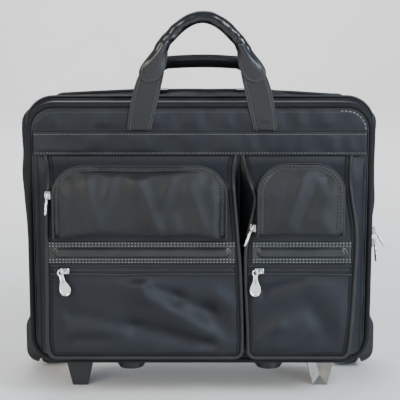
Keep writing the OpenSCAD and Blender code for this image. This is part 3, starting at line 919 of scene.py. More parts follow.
def inflate(obj, voxel, pressure, cap):
    """Puffs a closed piece up as a sewn pad: remesh, cloth frames under pressure, capped movement."""
    mesh = obj.data
    mod = obj.modifiers.new("remesh", "REMESH")
    mod.mode = "VOXEL"
    mod.voxel_size = voxel * MM
    mod.use_smooth_shade = True
    apply_modifiers(obj)
    rest = np.array([v.co for v in obj.data.vertices])
    cloth = obj.modifiers.new("cloth", "CLOTH")
    cloth.settings.quality = 5
    cloth.settings.mass = 0.3
    cloth.settings.use_pressure = True
    cloth.settings.uniform_pressure_force = pressure
    cloth.settings.effector_weights.gravity = 0
    cloth.point_cache.frame_start = 1
    cloth.point_cache.frame_end = CLOTH_FRAMES
    scene = bpy.context.scene
    for f in range(1, CLOTH_FRAMES + 1):
        scene.frame_set(f)
    graph = bpy.context.evaluated_depsgraph_get()
    shape = bpy.data.meshes.new_from_object(obj.evaluated_get(graph))
    moved = np.array([v.co for v in shape.vertices]) - rest
    far = np.linalg.norm(moved, axis=1)
    moved *= np.minimum(1, cap * MM / np.maximum(far, 1e-9))[:, None]
    shape.vertices.foreach_set("co", (rest + moved).ravel())
    obj.modifiers.clear()
    obj.data = shape
    scene.frame_set(1)
    return obj


def subdivide(obj, levels=1):
    mod = obj.modifiers.new("smooth", "SUBSURF")
    mod.levels = levels
    mod.render_levels = levels
    return apply_modifiers(obj)


def move_front(obj, shift):
    """Moves the front skin of a pad in y by shift(x, z), in millimetres."""
    co = np.array([v.co for v in obj.data.vertices]) / MM
    y = co[:, 1]
    half = 0.5 * (y.min() + y.max())
    weight = ease((half + 2 - y) / 4)
    co[:, 1] += weight * shift(co[:, 0], co[:, 2])
    obj.data.vertices.foreach_set("co", (co * MM).ravel())
    obj.data.update()


def pouch_pad(side):
    """The padded front of a pouch, puffed up by a cloth run and creased afterwards."""
    ring = pouch_outline(side, 1.5, 4.0)
    rings = []
    for inset, back in ((6, 0.0), (1.2, 0.0), (0, 1.6), (0, 6.0), (1.2, 7.6)):
        xz = ring - out_normals(ring) * inset
        rings.append(np.stack([xz[:, 0], pouch_lean(xz[:, 1]) + back, xz[:, 1]], 1))
    obj = piece(f"pouch_{side}_pad", *rings_to_mesh(pouch_filled(rings), True, True), "nylon_soft",
                "front_section",
                [f"pouch_{side}"])
    inflate(obj, 4.5, 4.0, 4.0)
    table = POUCHES[side]["folds"]
    span_x, span_z = pouch_span(side)

    def crease(x, z):
        near = ease(np.minimum(x - span_x[0], span_x[1] - x) / 18) * ease((span_z[1] - z) / 20)
        return -near * (folds(x, z, table) + ripple(x, z, 26, 1.6, 4.4))

    move_front(obj, crease)
    subdivide(obj)
    return obj


def pouch_filled(rings):
    """Adds rings across the flat front and back, so that the cloth has an even mesh."""
    def towards_middle(edge, steps):
        c = edge.mean(0)
        out = []
        for s in np.linspace(1, 0, steps + 1)[1:-1]:
            p = c + (edge - c) * s
            p[:, 1] = np.interp(p[:, 2], *depth_by_height(edge))
            out.append(p)
        return out

    def depth_by_height(edge):
        order = np.argsort(edge[:, 2])
        return edge[order, 2], edge[order, 1]

    return towards_middle(rings[0], 22)[::-1] + rings + towards_middle(rings[-1], 22)


def pouch_trim(side, pad):
    """Bound edge, zip wall and double stitching of a pouch."""
    pocket = POCKETS[POUCHES[side]["pocket"]]
    arch = pouch_outline(side, 0.6, 3.0)
    arch = np.array([p for p in arch if p[1] > pouch_span(side)[1][0] + 1.5])
    front = pouch_lean(arch[:, 1])
    rim = np.stack([arch[:, 0], front + 0.2, arch[:, 1]], 1)
    wide = in_plane_normals(rim)
    out = inner_sign(arch, wide)
    piece(f"pouch_{side}_binding", *sweep(rim, wide, 1.5, 1.9, n=10), "edge", "front_section")
    away = np.stack([wide[:, 0], wide[:, 2]], 1) * out
    rows = [arch - away * d for d in (3.6, 8.0)]
    band = band_on(f"pouch_{side}_seam", tree_of([pad]), arch - away * 5.8, 4.9, 0.6, "seam_band",
                   "front_section")
    sew(f"pouch_{side}_stitches", tree_of([band]), rows, "front_section", "lace", 4.2, 2.4, 2.0)
    sides = []
    for f, inset in ((0, 0.8), (0.12, 1.2), (0.3, 1.6), (0.36, 0.6), (0.6, 0.6), (0.66, 1.8), (1, 2.4)):
        xz = arch - away * inset
        deep = pocket_face(pocket, xz[:, 0], xz[:, 1]) + 1.5
        y = front + 1.5 + (deep - front - 1.5) * f
        sides.append(np.stack([xz[:, 0], y, xz[:, 1]], 1))
    backs = [s - wide * out for s in sides[::-1]]
    piece(f"pouch_{side}_gusset", *closed_strip(sides + backs), "nylon_dark", "front_section")
    line = arch - away * 0.2
    teeth_y = front + 4.6
    teeth(f"pouch_{side}_teeth", np.stack([line[:, 0], teeth_y, line[:, 1]], 1), wide * out, "front_section",
          ["pouch_zips"] if side == "left" else [])


def teeth(name, path, out, body, hides=(), pitch=1.9):
    """A coil of teeth along a path: short bars that alternate to each side of the middle line."""
    run = run_of(path)
    at = np.arange(pitch, run[-1], pitch)
    pts, nrm = rows_at(path, run, at), rows_at(out, run, at)
    nrm /= np.linalg.norm(nrm, axis=1)[:, None]
    d = np.gradient(pts, axis=0)
    d /= np.linalg.norm(d, axis=1)[:, None]
    places = []
    for i, (p, n, t) in enumerate(zip(pts, nrm, d)):
        side = np.cross(t, n)
        places.append((p + side * (0.55 if i % 2 else -0.55), side, n))
    piece(name, *stitch_mesh(places, 2.6, 1.15), "coil", body, hides)


# ---------------------------------------------------------------- leather strips and pocket zips
STRIPS = {"left": (-190, 44), "right": (64, 189)}
STRIP_Z = (182, 211)
ROLL_Z = 196.0
ZIP_Z = 173.0
ZIPS = {"left": (-184, 42), "right": (63, 188)}


def capsule_distance(x, z, x0, x1, z0):
    """Distance from the level line between (x0, z0) and (x1, z0)."""
    return np.hypot(x - np.clip(x, x0, x1), z - z0)


def strip_front(x, z, side):
    """Leather face: a padded bar with an embossed line round it."""
    x0, x1 = STRIPS[side]
    d = capsule_distance(x, z, x0 + 14, x1 - 13, ROLL_Z)
    bar = 2.6 * (1 - ease((d - 3.4) / 3.6))
    line = -0.7 * np.exp(-((d - 8.6) / 0.7) ** 2) - 0.5 * np.exp(-((d - 7.0) / 0.8) ** 2)
    edge = np.minimum(np.minimum(x - x0, x1 - x), np.minimum(z - STRIP_Z[0], STRIP_Z[1] - z))
    lip = 1.5 * ease(edge / 1.6) + 0.35 * np.exp(-((edge - 1.6) / 0.9) ** 2)
    soft = ripple(x, z * 2.5, 20, 0.5, 9.1)
    return POCKET_Y - (lip + bar + line + soft * ease(edge / 6))


def leather_strip(side):
    x0, x1 = STRIPS[side]
    xs = np.concatenate([[x0, x0 + 0.4, x0 + 0.9], np.linspace(x0 + 1.6, x1 - 1.6, int((x1 - x0) / 1.3)),
                         [x1 - 0.9, x1 - 0.4, x1]])
    zs = np.concatenate([[STRIP_Z[0], STRIP_Z[0] + 0.4], np.linspace(STRIP_Z[0] + 1, STRIP_Z[1] - 1, 40),
                         [STRIP_Z[1] - 0.4, STRIP_Z[1]]])
    gx, gz = np.meshgrid(xs, zs)
    obj = piece(f"leather_strip_{side}", *plate(gx, gz, strip_front(gx, gz, side), back_y=POCKET_Y + 0.6),
                "trim_leather", "front_section", ["leather_strips"] if side == "left" else [])
    tree = tree_of([obj])
    rows = [[(x0 + 3, z), (x1 - 2, z)] for z in (208.4, 204.6, 187.4, 184.0)]
    sew(f"leather_strip_{side}_stitches", tree, rows, "front_section", "thread", 4.1, 2.3, 1.3)


def pocket_zip(side):
    """Tapes, teeth and folded lips of the zip under a leather strip."""
    x0, x1 = ZIPS[side]
    gx, gz = np.meshgrid(np.linspace(x0 - 2, x1 + 1, 60), np.linspace(ZIP_Z - 5.2, ZIP_Z + 6, 9))
    tape_y = POCKET_Y - 0.4 - 0.3 * np.cos((gz - ZIP_Z) * 1.1)
    piece(f"pocket_zip_{side}_tape", *plate(gx, gz, tape_y, back_y=POCKET_Y + 0.8), "tape", "front_section",
          ["pocket_zips"] if side == "left" else [])
    line = even([(x0, POCKET_Y - 0.9, ZIP_Z + 0.6), (x1, POCKET_Y - 0.9, ZIP_Z + 0.6)], 2)
    sag = ripple(line[:, 0], 0 * line[:, 0], 70, 0.8, 1.7)
    line[:, 2] += sag
    teeth(f"pocket_zip_{side}_teeth", line, np.tile((0.0, -1.0, 0.0), (len(line), 1)), "front_section")
    for name, z, half in (("upper_lip", ZIP_Z + 6.2, 1.0), ("lower_lip", ZIP_Z - 4.4, 1.5)):
        lip = even([(x0 - 3, POCKET_Y - 1.3, z), (x1 + 2, POCKET_Y - 1.3, z)], 3)
        lip[:, 2] += ripple(lip[:, 0], 0 * lip[:, 0], 55, 1.0, z)
        piece(f"pocket_zip_{side}_{name}", *sweep(lip, (0, 0, 1), half, 0.9, n=10), "edge", "front_section")


# ---------------------------------------------------------------- zip sliders and pulls
def torus_mesh(centre, major, minor, axis, n=28, k=10, stretch=1.0):
    a = np.linspace(0, 2 * math.pi, n, endpoint=False)
    axis = np.asarray(axis, float) / np.linalg.norm(axis)
    u = np.cross(axis, (0, 0, 1)) if abs(axis[2]) < 0.9 else np.array([1.0, 0, 0])
    u /= np.linalg.norm(u)
    v = np.cross(axis, u)
    out = np.outer(np.cos(a), u) + np.outer(np.sin(a), v)
    centres = np.asarray(centre, float) + major * (np.outer(np.cos(a), u) + stretch * np.outer(np.sin(a), v))
    return sweep(centres, out, minor, minor, n=k, thick=axis, closed=True)


DROP_SHAPE = [(0.0, 0.42), (0.18, 0.42), (0.3, 0.5), (0.45, 0.74), (0.6, 0.95), (0.74, 1.0), (0.86, 0.86),
              (0.95, 0.56), (1.0, 0)]


def drop_plate(length, half):
    """A flat pear-shaped drop with a raised rim, hanging from the eye at the origin, faces square to y."""
    shape = smooth_curve(DROP_SHAPE, 0.03)
    neck_z = -3.6
    z = neck_z - shape[:, 0] * (length + neck_z)
    x = shape[:, 1] * half
    ring = np.vstack([np.stack([x, z], 1), np.stack([-x[-2::-1], z[-2::-1]], 1)])
    ring = even(np.vstack([ring, ring[:1]]), 1.0)[:-1]
    away = out_normals(ring)
    middle = np.array([0, neck_z - 0.66 * (length + neck_z)])
    if ((ring - middle) * away).sum() < 0:
        away = -away
    rings = []
    for inset, y in ((2.3, -0.75), (1.7, -0.8), (1.3, -1.25), (0.7, -1.4), (0.2, -1.1), (0, -0.4),
                     (0, 0.4), (0.2, 1.1),
                     (0.7, 1.4), (1.3, 1.25), (1.7, 0.8), (2.3, 0.75)):
        rings.append(at_depth(ring - away * inset, y))
    body = rings_to_mesh(rings, True, True)
    eye = torus_mesh((0, 0, -1.6), 3.3, 1.15, (0, 1, 0), stretch=1.1)
    return joined([body, eye])


def turned(mesh, angle, axis, place=(0, 0, 0)):
    """A mesh turned about an axis through the origin and then moved to its place."""
    verts, faces = mesh
    rot = np.array(Matrix.Rotation(math.radians(angle), 3, axis))
    return verts @ rot.T + np.asarray(place, float), faces


def slider_mesh():
    """A slider lying in the x-z plane: it runs along x, and its bridge stands out towards -y."""
    base = rounded_block((-5.6, 5.6), (-1.1, 0.7), (-3.6, 3.6), 1.0)
    crown = rounded_block((-4.4, 5.2), (-3.1, -1.5), (-3.1, 3.1), 0.9)
    post = rounded_block((2.0, 4.6), (-2.4, 0), (-1.2, 1.2), 0.6)
    arc = [(-4.8, -2.6, 0), (-5.0, -4.6, 0), (-3.2, -5.9, 0), (0, -6.3, 0), (3.0, -5.6, 0), (4.4, -3.2, 0)]
    bridge = sweep(smooth_curve(arc, 0.8), (0, 0, 1), 1.5, 0.7, power=2.6, n=12, thick=(0.2, -1, 0))
    return joined([base, crown, post, bridge])


def joint_at(name):
    """Where a joint turns, in millimetres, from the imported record."""
    joint = next(j for j in frame["joints"] if j["name"] == name)
    return np.array(joint["pos_m"], float) / MM


PULLS = {
    "pocket": {"sides": ("left", "right"), "length": 32, "half": 7, "turn": 0},
    "main": {"sides": ("upper", "lower"), "length": 26, "half": 5.5, "turn": 90},
    "pouch": {"sides": ("left", "right"), "length": 26, "half": 5.0, "turn": -90},
}
PULL_TILT = {"pocket_left": -14, "pocket_right": 0, "main_upper": 30, "main_lower": 6, "pouch_left": 4,
             "pouch_right": 22}


def zip_hardware():
    for group, spec in PULLS.items():
        for side in spec["sides"]:
            pull = f"{group}_pull_{side}"
            slider = f"{group}_slider_{side}"
            pivot = joint_at(f"{pull}_swing")
            tilt = PULL_TILT[f"{group}_{side}"]
            drop = drop_plate(spec["length"], spec["half"])
            if group == "pocket":
                drop = turned(drop, tilt, "Y")
            else:
                drop = turned(drop, -tilt, "X")
            drop = turned(drop, spec["turn"], "Z", pivot)
            piece(pull + "_drop", *drop, "nickel", pull, [pull])
            lo, hi = size_of(slider)
            seat = (lo + hi) / 2
            body = slider_mesh()
            if group == "pocket":
                seat = seat + np.array([5.2, hi[1] - seat[1] - 1.6, 0])
            else:
                body = turned(turned(body, 90, "Y"), spec["turn"], "Z")
                out = 1 if group == "main" else -1
                seat = seat - np.array([out * ((hi[0] - lo[0]) / 2 - 1.2), 0, 0])
            verts, faces = body
            piece(slider + "_body", verts + seat, faces, "nickel", slider, [slider])


# ---------------------------------------------------------------- front carry handle
HANDLE_X = 3
HANDLE_Y = joint_at("front_carry_handle_swing")[1]
STRAP_EDGES = [(346, -93, -65), (362, -91.5, -61), (381, -88, -56.5), (398, -84, -52.5), (411, -79.5, -49.5),
               (421, -74, -48), (432, -66, -50)]
TAB_WIDTHS = [(406.5, 0.5), (408, 7), (411, 11), (416, 14), (421, 15), (428, 14.2), (436, 11.6),
              (444, 9.3), (454, 8)]
TAB_LINE = [(406.5, -66.5), (416, -64), (426, -60.4), (436, -55.8), (446, -50.6), (454, -46.4)]


def mirrored_x(verts, faces):
    """The same mesh on the other side of the handle's middle, with its faces turned back out."""
    out = np.array(verts, float)
    out[:, 0] = 2 * HANDLE_X - out[:, 0]
    return out, [tuple(reversed(f)) for f in faces]


def strap_grid():
    table = np.array(STRAP_EDGES, float)
    zs = np.linspace(table[0, 0], table[-1, 0], 50)
    left = np.interp(zs, *smooth_curve(table[:, [0, 1]], 2).T)
    right = np.interp(zs, *smooth_curve(table[:, [0, 2]], 2).T)
    us = np.array([0, 0.02, 0.06, 0.12, 0.2, 0.35, 0.5, 0.65, 0.8, 0.88, 0.94, 0.98, 1])
    gx = HANDLE_X + left[:, None] + (right - left)[:, None] * us
    gz = np.repeat(zs[:, None], len(us), 1)
    thick = 1.3 - 0.8 * np.abs(2 * us - 1) ** 8
    front = HANDLE_Y - thick[None, :] - 0.5 * ripple(gx, gz * 0.6, 22, 1.6, 6.6)
    return gx, gz, front


def front_handle():
    body = "front_carry_handle"
    gx, gz, front = strap_grid()
    strap = plate(gx, gz, front, back_y=HANDLE_Y + 1.5)
    both = joined([strap, mirrored_x(*strap)])
    straps = piece("front_handle_straps", *both, "strap", body, ["front_straps"])
    tree = tree_of([straps])
    rows, edges = [], []
    for col, share in ((0, 0.1), (-1, 0.9)):
        x = gx[:, 0] + (gx[:, -1] - gx[:, 0]) * share
        rows += [np.stack([x, gz[:, 0]], 1), np.stack([2 * HANDLE_X - x, gz[:, 0]], 1)]
        line = np.stack([gx[:, col], np.full(len(gx), HANDLE_Y - 0.6), gz[:, 0]], 1)
        rail = sweep(line, in_plane_normals(line), 0.9, 1.1, n=8)
        edges += [rail, mirrored_x(*rail)]
    sew("front_handle_stitches", tree, rows, body, "dark_thread")
    piece("front_handle_edges", *joined(edges), "strap_edge", body)
    front_grip_leather(body)
    tabs(body)


def grip_line():
    half = [(-59, 426), (-54.5, 437), (-48.6, 448), (-43, 456), (-35.5, 464), (-27.5, 472), (-18.5, 479),
            (-8.5, 484), (HANDLE_X, 486.2)]
    pts = half + [(2 * HANDLE_X - x, z) for x, z in half[-2::-1]]
    return smooth_curve([(x, HANDLE_Y, z) for x, z in pts], 1.6)


def front_grip_leather(body):
    """A leather sleeve gathered over a tube, with puckers near its ends."""
    centres = grip_line()
    m = len(centres)
    s = np.linspace(0, 1, m)
    end = np.minimum(s, 1 - s)
    radius = 5.0 + 2.5 * ease(end / 0.14)
    wide = in_plane_normals(centres)
    verts, faces = sweep(centres, wide, radius, radius, n=36)
    ring = 36
    a = np.linspace(0, 2 * math.pi, ring, endpoint=False)
    v = np.array(verts)
    for i in range(m):
        pucker = 0.95 * math.exp(-((end[i] - 0.2) / 0.09) ** 2) + 0.4
        for j in range(ring):
            k = i * ring + j
            p = v[k]
            away = p - centres[i]
            away /= np.linalg.norm(away)
            wave = noise.noise(Vector((p[0] / 13, p[1] / 13, p[2] / 13)))
            crease = math.sin(s[i] * 84 + 2.2 * math.sin(a[j] + s[i] * 9))
            crease *= 0.5 + 0.5 * math.cos(a[j] + 2.4)
            lump = 0.8 * noise.noise(Vector((s[i] * 15, math.cos(a[j]), math.sin(a[j]) + 4)))
            v[k] = p + away * (0.5 * wave + 0.42 * pucker * crease * ease(end[i] / 0.1) + lump)
    grip = piece("front_grip_leather", v, faces, "grip_leather", body, ["front_grip"])
    subdivide(grip)
    seam = centres - wide * inner_sign(centres[:, [0, 2]], wide) * (radius * 0.97)[:, None]
    piece("front_grip_seam", *sweep(seam[6:-6], wide[6:-6], 0.8, 1.3, n=8), "leather", body)


def tab_mesh():
    zs = np.concatenate([[406.5, 406.9, 407.6, 408.6, 410], np.linspace(412, 454, 28)])
    half = np.interp(zs, *np.array(TAB_WIDTHS, float).T)
    mid = np.interp(zs, *smooth_curve(np.array(TAB_LINE, float), 2).T)
    us = np.concatenate([[-1, -0.97, -0.92], np.linspace(-0.84, 0.84, 15), [0.92, 0.97, 1]])
    gx = HANDLE_X + mid[:, None] + half[:, None] * us
    gz = np.repeat(zs[:, None], len(us), 1)
    dome = 1.0 + 6.6 * ease((zs - 406) / 42)
    edge = 1 - np.abs(us) ** 2
    rim = 0.5 * np.exp(-((np.abs(us) - 0.9) / 0.07) ** 2)
    front = HANDLE_Y - 1.6 - dome[:, None] * edge[None, :] - rim[None, :] * ease((450 - zs) / 20)[:, None]
    return gx, gz, front, half, mid


def tabs(body):
    """Domed leather teardrops that hold the grip to its straps."""
    gx, gz, front, half, mid = tab_mesh()
    parts = plate(gx, gz, front, back_y=HANDLE_Y - 1.2)
    back = np.array(parts[0])
    back[:, 1] = 2 * HANDLE_Y - back[:, 1]
    rear = (back, [tuple(reversed(f)) for f in parts[1]])
    all_tabs = joined([parts, mirrored_x(*parts), rear, mirrored_x(*rear)])
    obj = piece("grip_tab_leather", *all_tabs, "tab_leather", body, ["grip_tabs"])
    tree = tree_of([obj])
    zs = gz[:, 0]
    side_rows, rim_rows = [], []
    for sign in (-1, 1):
        x = HANDLE_X + mid + sign * half * 0.83
        keep = (zs > 409.5) & (zs < 446)
        side_rows.append(np.stack([x[keep], zs[keep]], 1))
        x = HANDLE_X + mid + sign * half
        rim_rows.append(np.stack([x[zs < 446], np.full((zs < 446).sum(), HANDLE_Y - 2.1), zs[zs < 446]], 1))
    loop = np.vstack([side_rows[0][::-1], [[HANDLE_X + mid[2] - 3, 408.6], [HANDLE_X + mid[2] + 4, 408.6]],
                      side_rows[1]])
    other = np.stack([2 * HANDLE_X - loop[:, 0], loop[:, 1]], 1)
    sew("grip_tab_stitches", tree, [loop, other], body, "dark_thread", 2.6, 1.7, 0.7)
    rim = np.vstack([rim_rows[0][::-1], rim_rows[1]])
    rim = smooth_curve(rim[::3], 1.5)
    rail = sweep(rim, in_plane_normals(rim), 0.8, 0.9, n=8)
    piece("grip_tab_rims", *joined([rail, mirrored_x(*rail)]), "strap_edge", body)


# ---------------------------------------------------------------- rear carry handle
REAR_LEAN = 30


def rear_place(points):
    """From the handle's own flat frame to its lean at rest."""
    p = np.asarray(points, float)
    rot = np.array(Matrix.Rotation(math.radians(REAR_LEAN), 3, "X"))
    pivot = joint_at("rear_carry_handle_swing") + np.array([HANDLE_X, 0, 0])
    return p @ rot.T + pivot


def rear_handle():
    body = "rear_carry_handle"
    xs = np.linspace(-57, 57, 90)
    t = (xs / 51) ** 2
    low = 33.2 - 2.6 * t - 6 * ease((np.abs(xs) - 45) / 12)
    high = 52 - 3.0 * t - 5 * ease((np.abs(xs) - 47) / 10)
    mid = (low + high) / 2
    centres = np.stack([xs, np.zeros(90), mid], 1)
    verts, faces = sweep(centres, (0, 0, 1), (high - low) / 2, 5.4, power=2.0, n=40)
    v = np.array(verts)
    v[:, 1] += 0.5 * ripple(v[:, 0], v[:, 2], 24, 1.0, 3.3)
    grip = piece("rear_grip_leather", rear_place(v), faces, "tab_leather", body, ["rear_grip"])
    row = even(np.stack([xs[9:-9], np.full(72, -4.3), low[9:-9] + 4.4], 1), 2.9)
    places = [(rear_place(p[None])[0], rear_place(np.array([[1.0, 0, 0]]))[0] - rear_place(np.zeros((1,
                                                                                                     3)))[0],
               rear_place(np.array([[0, -1.0, 0]]))[0] - rear_place(np.zeros((1, 3)))[0]) for p in row]
    piece("rear_grip_stitches", *stitch_mesh(places, 1.9, 1.1), "lace", body)
    edge = np.stack([xs, np.full(90, -2.6), low + 1.2], 1)
    rail_v, rail_f = sweep(edge, (0, 0, 1), 1.0, 1.0, n=8)
    piece("rear_grip_edge", rear_place(rail_v), rail_f, "strap_edge", body)
    parts = []
    for sign in (-1, 1):
        zs = np.linspace(4, 44, 24)
        outer = np.interp(zs, [4, 20, 44], [76, 75, 68])
        inner = np.interp(zs, [2, 30, 44], [55.5, 54.5, 50])
        us = np.array([0, 0.03, 0.1, 0.3, 0.5, 0.7, 0.9, 0.97, 1])
        gx = sign * (inner[:, None] + (outer - inner)[:, None] * us)
        gz = np.repeat(zs[:, None], len(us), 1)
        thick = 1.3 - 0.8 * np.abs(2 * us - 1) ** 8
        verts, faces = plate(gx, gz, -np.repeat(thick[None, :], len(zs), 0), back_y=1.4)
        parts.append((rear_place(verts), faces))
    piece("rear_handle_straps", *joined(parts), "strap", body, ["rear_straps"])


# ---------------------------------------------------------------- main zip and hinge gusset
ZIP_POINTS = 400
TOOTH_PITCH = 2.4


def zip_arch(half_w, top, r):
    """The zip's path in x and z: up one side from its end, over the top and down again."""
    ring = round_outline((-half_w, half_w), (ZIP_END_Z - 60, top), (2, r, r, 2), 2.5)
    path = np.array([p for p in ring if p[1] >= ZIP_END_Z])
    start = int(np.argmin(path[:, 1] + 1e-3 * path[:, 0]))
    return np.roll(path, -start, 0) if start else path


def main_zip():
    """Two tapes with their own teeth, one on each half of the case."""
    joint_y = joint_at("front_section_fold")[1]
    inner = zip_arch(PANEL_HI[0] - 1.2, PANEL_HI[2] - 1.2, PANEL_R)
    outer = zip_arch(CASE_HI[0] - 1.2, CASE_HI[2] - 1.2, CASE_R)
    inner, outer = (resample(even(path, 2.5), ZIP_POINTS) for path in (inner, outer))
    middle = (inner + outer) / 2
    away = arch_normals(middle)
    for half, start, end, path, body, node_name in (
            ("front", PANEL_BACK - 1.5, joint_y - 0.15, inner, "front_section", "main_zip_front"),
            ("rear", joint_y + 0.15, CASE_FRONT + 1.5, outer, "case", "main_zip_rear")):
        rows = []
        for f in np.linspace(0, 1, 5):
            y = start + (end - start) * f
            near = f if half == "front" else 1 - f
            rows.append(at_depth(path + (middle - path) * near, y))
        tape = strip_mesh(rows, away, 1.0)
        piece(f"main_zip_{half}_tape", *tape, "tape", body, [node_name])
        y = joint_y - 0.9 if half == "front" else joint_y + 0.9
        line = at_depth(middle + away * 0.4, y)
        out = at_depth(away, 0)
        bars(f"main_zip_{half}_teeth", line, out, body, -1 if half == "front" else 1)


def arch_normals(path):
    d = np.gradient(path, axis=0)
    nrm = np.stack([-d[:, 1], d[:, 0]], 1)
    nrm /= np.linalg.norm(nrm, axis=1)[:, None]
    away = path - np.array([0, ZIP_END_Z])
    return nrm if (nrm * away).sum() > 0 else -nrm


def strip_mesh(rows, away, thickness):
    """A closed strip from open rows of points, thickened towards the inside."""
    push = at_depth(away, 0) * thickness
    return closed_strip(list(rows) + [r - push for r in rows[::-1]])


def bars(name, path, out, body, side_y):
    """Half of a zip's teeth: bars across the joint line."""
    run = run_of(path)
    at = np.arange(2.0 + (TOOTH_PITCH / 2 if side_y > 0 else 0), run[-1] - 2, TOOTH_PITCH)
    pts, nrm = rows_at(path, run, at), rows_at(out, run, at)
    places = [(p, np.array([0.0, 1.0, 0.0]), n / np.linalg.norm(n)) for p, n in zip(pts, nrm)]
    piece(name, *stitch_mesh(places, 1.6, 1.2), "coil", body)


def hinge_gusset():
    """Cloth that joins the two halves below the zip ends and along the foot, pleated inwards."""
    ends = {}
    for key, ring in (("case", case_edge(3)), ("panel", panel_edge(3))):
        low = np.array([p for p in ring if p[1] < ZIP_END_Z + 4])
        order = np.argsort([gusset_order(p) for p in low])
        ends[key] = resample(low[order], 220)
    rows = []
    away = ends["case"] - np.array([0, 200])
    away /= np.linalg.norm(away, axis=1)[:, None]
    height = ends["case"][:, 1]
    for f in np.linspace(0, 1, 13):
        y = CASE_FRONT + 1.5 + (PANEL_BACK - CASE_FRONT - 3.0) * f
        xz = ends["case"] + (ends["panel"] - ends["case"]) * f
        pleat = 11 * ease((height - 60) / 100) * abs(math.sin(2 * math.pi * f))
        fold_in = 1.2 + pleat + 1.5 * math.sin(math.pi * f)
        rows.append(at_depth(xz - away * np.array([1.0, 0.3]) * fold_in[:, None], y))
    verts, faces = strip_mesh(rows, away, 0.8)
    obj = piece("hinge_gusset", verts, faces, "nylon_dark", None, ["fan_gussets"])
    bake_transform(obj)


def gusset_order(p):
    """Sorts the low part of an outline: down the left side, along the foot, up the right side."""
    if p[0] < -160:
        if p[1] > 90:
            return -1000 - p[1] + (p[0] + 200) * 0.2
        return -600 + math.degrees(math.atan2(p[0] + 187, 83 - p[1]))
    if p[0] > 160:
        return 1000 + p[1] if p[1] > 90 else 600 + math.degrees(math.atan2(p[0] - 187, 83 - p[1]))
    return p[0]


# ---------------------------------------------------------------- base, legs and wheels
LEG_HALF_TOP, LEG_HALF_FOOT, LEG_DEPTH = 20, 10, 22


def leg(side, mat, recess):
    """A tapered front leg with a sunk V in its face, and its flange under the base."""
    lo, hi = size_of(f"front_leg_{side}")
    mid = (lo[0] + hi[0]) / 2
    top, foot = hi[2] - 0.2, lo[2]
    outer = [(mid - LEG_HALF_TOP, top), (mid + LEG_HALF_TOP, top), (mid + LEG_HALF_FOOT, foot),
             (mid - LEG_HALF_FOOT, foot)]
    inner = [(mid - 9, top - 3), (mid + 9, top - 3), (mid, foot + 13)]
    verts = [(x, lo[1], z) for x, z in outer] + [(x, lo[1] + recess, z) for x, z in inner]
    verts += [(x, lo[1] + LEG_DEPTH, z) for x, z in outer]
    faces = [(0, 1, 5, 4), (1, 2, 6, 5), (2, 3, 6), (3, 0, 4, 6), (4, 5, 6), (7, 10, 9, 8)]
    faces += [(k, k + 7, (k + 1) % 4 + 7, (k + 1) % 4) for k in range(4)]
    obj = piece(f"leg_{side}", verts, faces, mat, "case", [f"front_leg_{side}"], smooth=False)
    bevel(obj, 0.9, 2)
    flange = rounded_block((lo[0], hi[0]), (lo[1] + 0.3, hi[1]), (hi[2] - 4, hi[2]), 0.8)
    piece(f"leg_{side}_flange", *flange, mat, "case", smooth=False)


def lathe(profile, centre, n=96):
    """A ring turned about an axis along x. profile: (x, radius) points of a closed section."""
    prof = np.asarray(profile, float)
    rings = []
    for a in np.linspace(0, 2 * math.pi, n, endpoint=False):
        rings.append(np.stack([centre[0] + prof[:, 0], centre[1] + prof[:, 1] * math.cos(a),
                               centre[2] + prof[:, 1] * math.sin(a)], 1))
    k = len(prof)
    faces = []
    for i in range(n):
        j = (i + 1) % n
        faces += [(i * k + p, i * k + (p + 1) % k, j * k + (p + 1) % k, j * k + p) for p in range(k)]
    return np.vstack(rings), faces


def wheel(side):
    """Rubber tyre with a crowned, grooved tread, and a spoked hub with its cap."""
    lo, hi = size_of(f"tyre_{side}")
    c = (lo + hi) / 2
    half, r = (hi[0] - lo[0]) / 2, (hi[2] - lo[2]) / 2
    bore = r - 10
    outer = []
    for u in np.linspace(-1, 1, 33):
        groove = 0.9 if min(abs(u - 0.33), abs(u + 0.33)) < 0.06 else 0
        outer.append((u * half, r - 2.4 * abs(u) ** 4 - groove))
    profile = outer + [(half, r - 4.5), (half, bore + 1.2), (half - 1.2, bore), (1.2 - half, bore),
                       (-half, bore + 1.2),
                       (-half, r - 4.5)]
    piece(f"tyre_{side}_tread", *lathe(profile, c), "rubber", f"wheel_{side}", [f"tyre_{side}"])
    out = 1 if side == "right" else -1
    h_lo, h_hi = size_of(f"hub_{side}")
    face = h_hi[0] if out > 0 else h_lo[0]
    parts = [lathe([(out * -0.2, 4.0), (out * 1.4, 4.0), (out * 1.8, 4.8), (out * 1.8, 6.4),
                    (out * 1.2, 7.4),
                    (out * -0.2, 7.4)], (face, c[1], c[2]), 48)]
    for k in range(5):
        a = math.radians(36 + 72 * k)
        line = [(face + out * 0.4, c[1] + q * math.cos(a),
                 c[2] + q * math.sin(a)) for q in np.linspace(6.5, 19, 12)]
        wide = (0, -math.sin(a), math.cos(a))
        parts.append(sweep(line, wide, np.linspace(2.2, 3.2, 12), 0.9, power=3, n=14, thick=(1, 0, 0)))
    parts.append(lathe([(0, 17.6), (out * 1.1, 17.9), (out * 1.3, 19.2), (out * 0.9, 20.4), (0, 20.6)],
                       (face, c[1], c[2]), 96))
    piece(f"hub_{side}_spokes", *joined(parts), "hub", f"wheel_{side}")


def axle_caps():
    lo, hi = size_of("axles")
    for side, x, out in (("left", -HOUSING_HI[0], -1), ("right", HOUSING_HI[0], 1)):
        c = (x, (lo[1] + hi[1]) / 2, (lo[2] + hi[2]) / 2)
        prof = [(0, 0.01), (out * 1.4, 0.01), (out * 1.3, 3.5), (out * 0.8, 5.2), (0, 5.6)]
        piece(f"axle_cap_{side}", *lathe(prof, (c[0] - out * 0.9, c[1], c[2]), 32), "steel", "case")


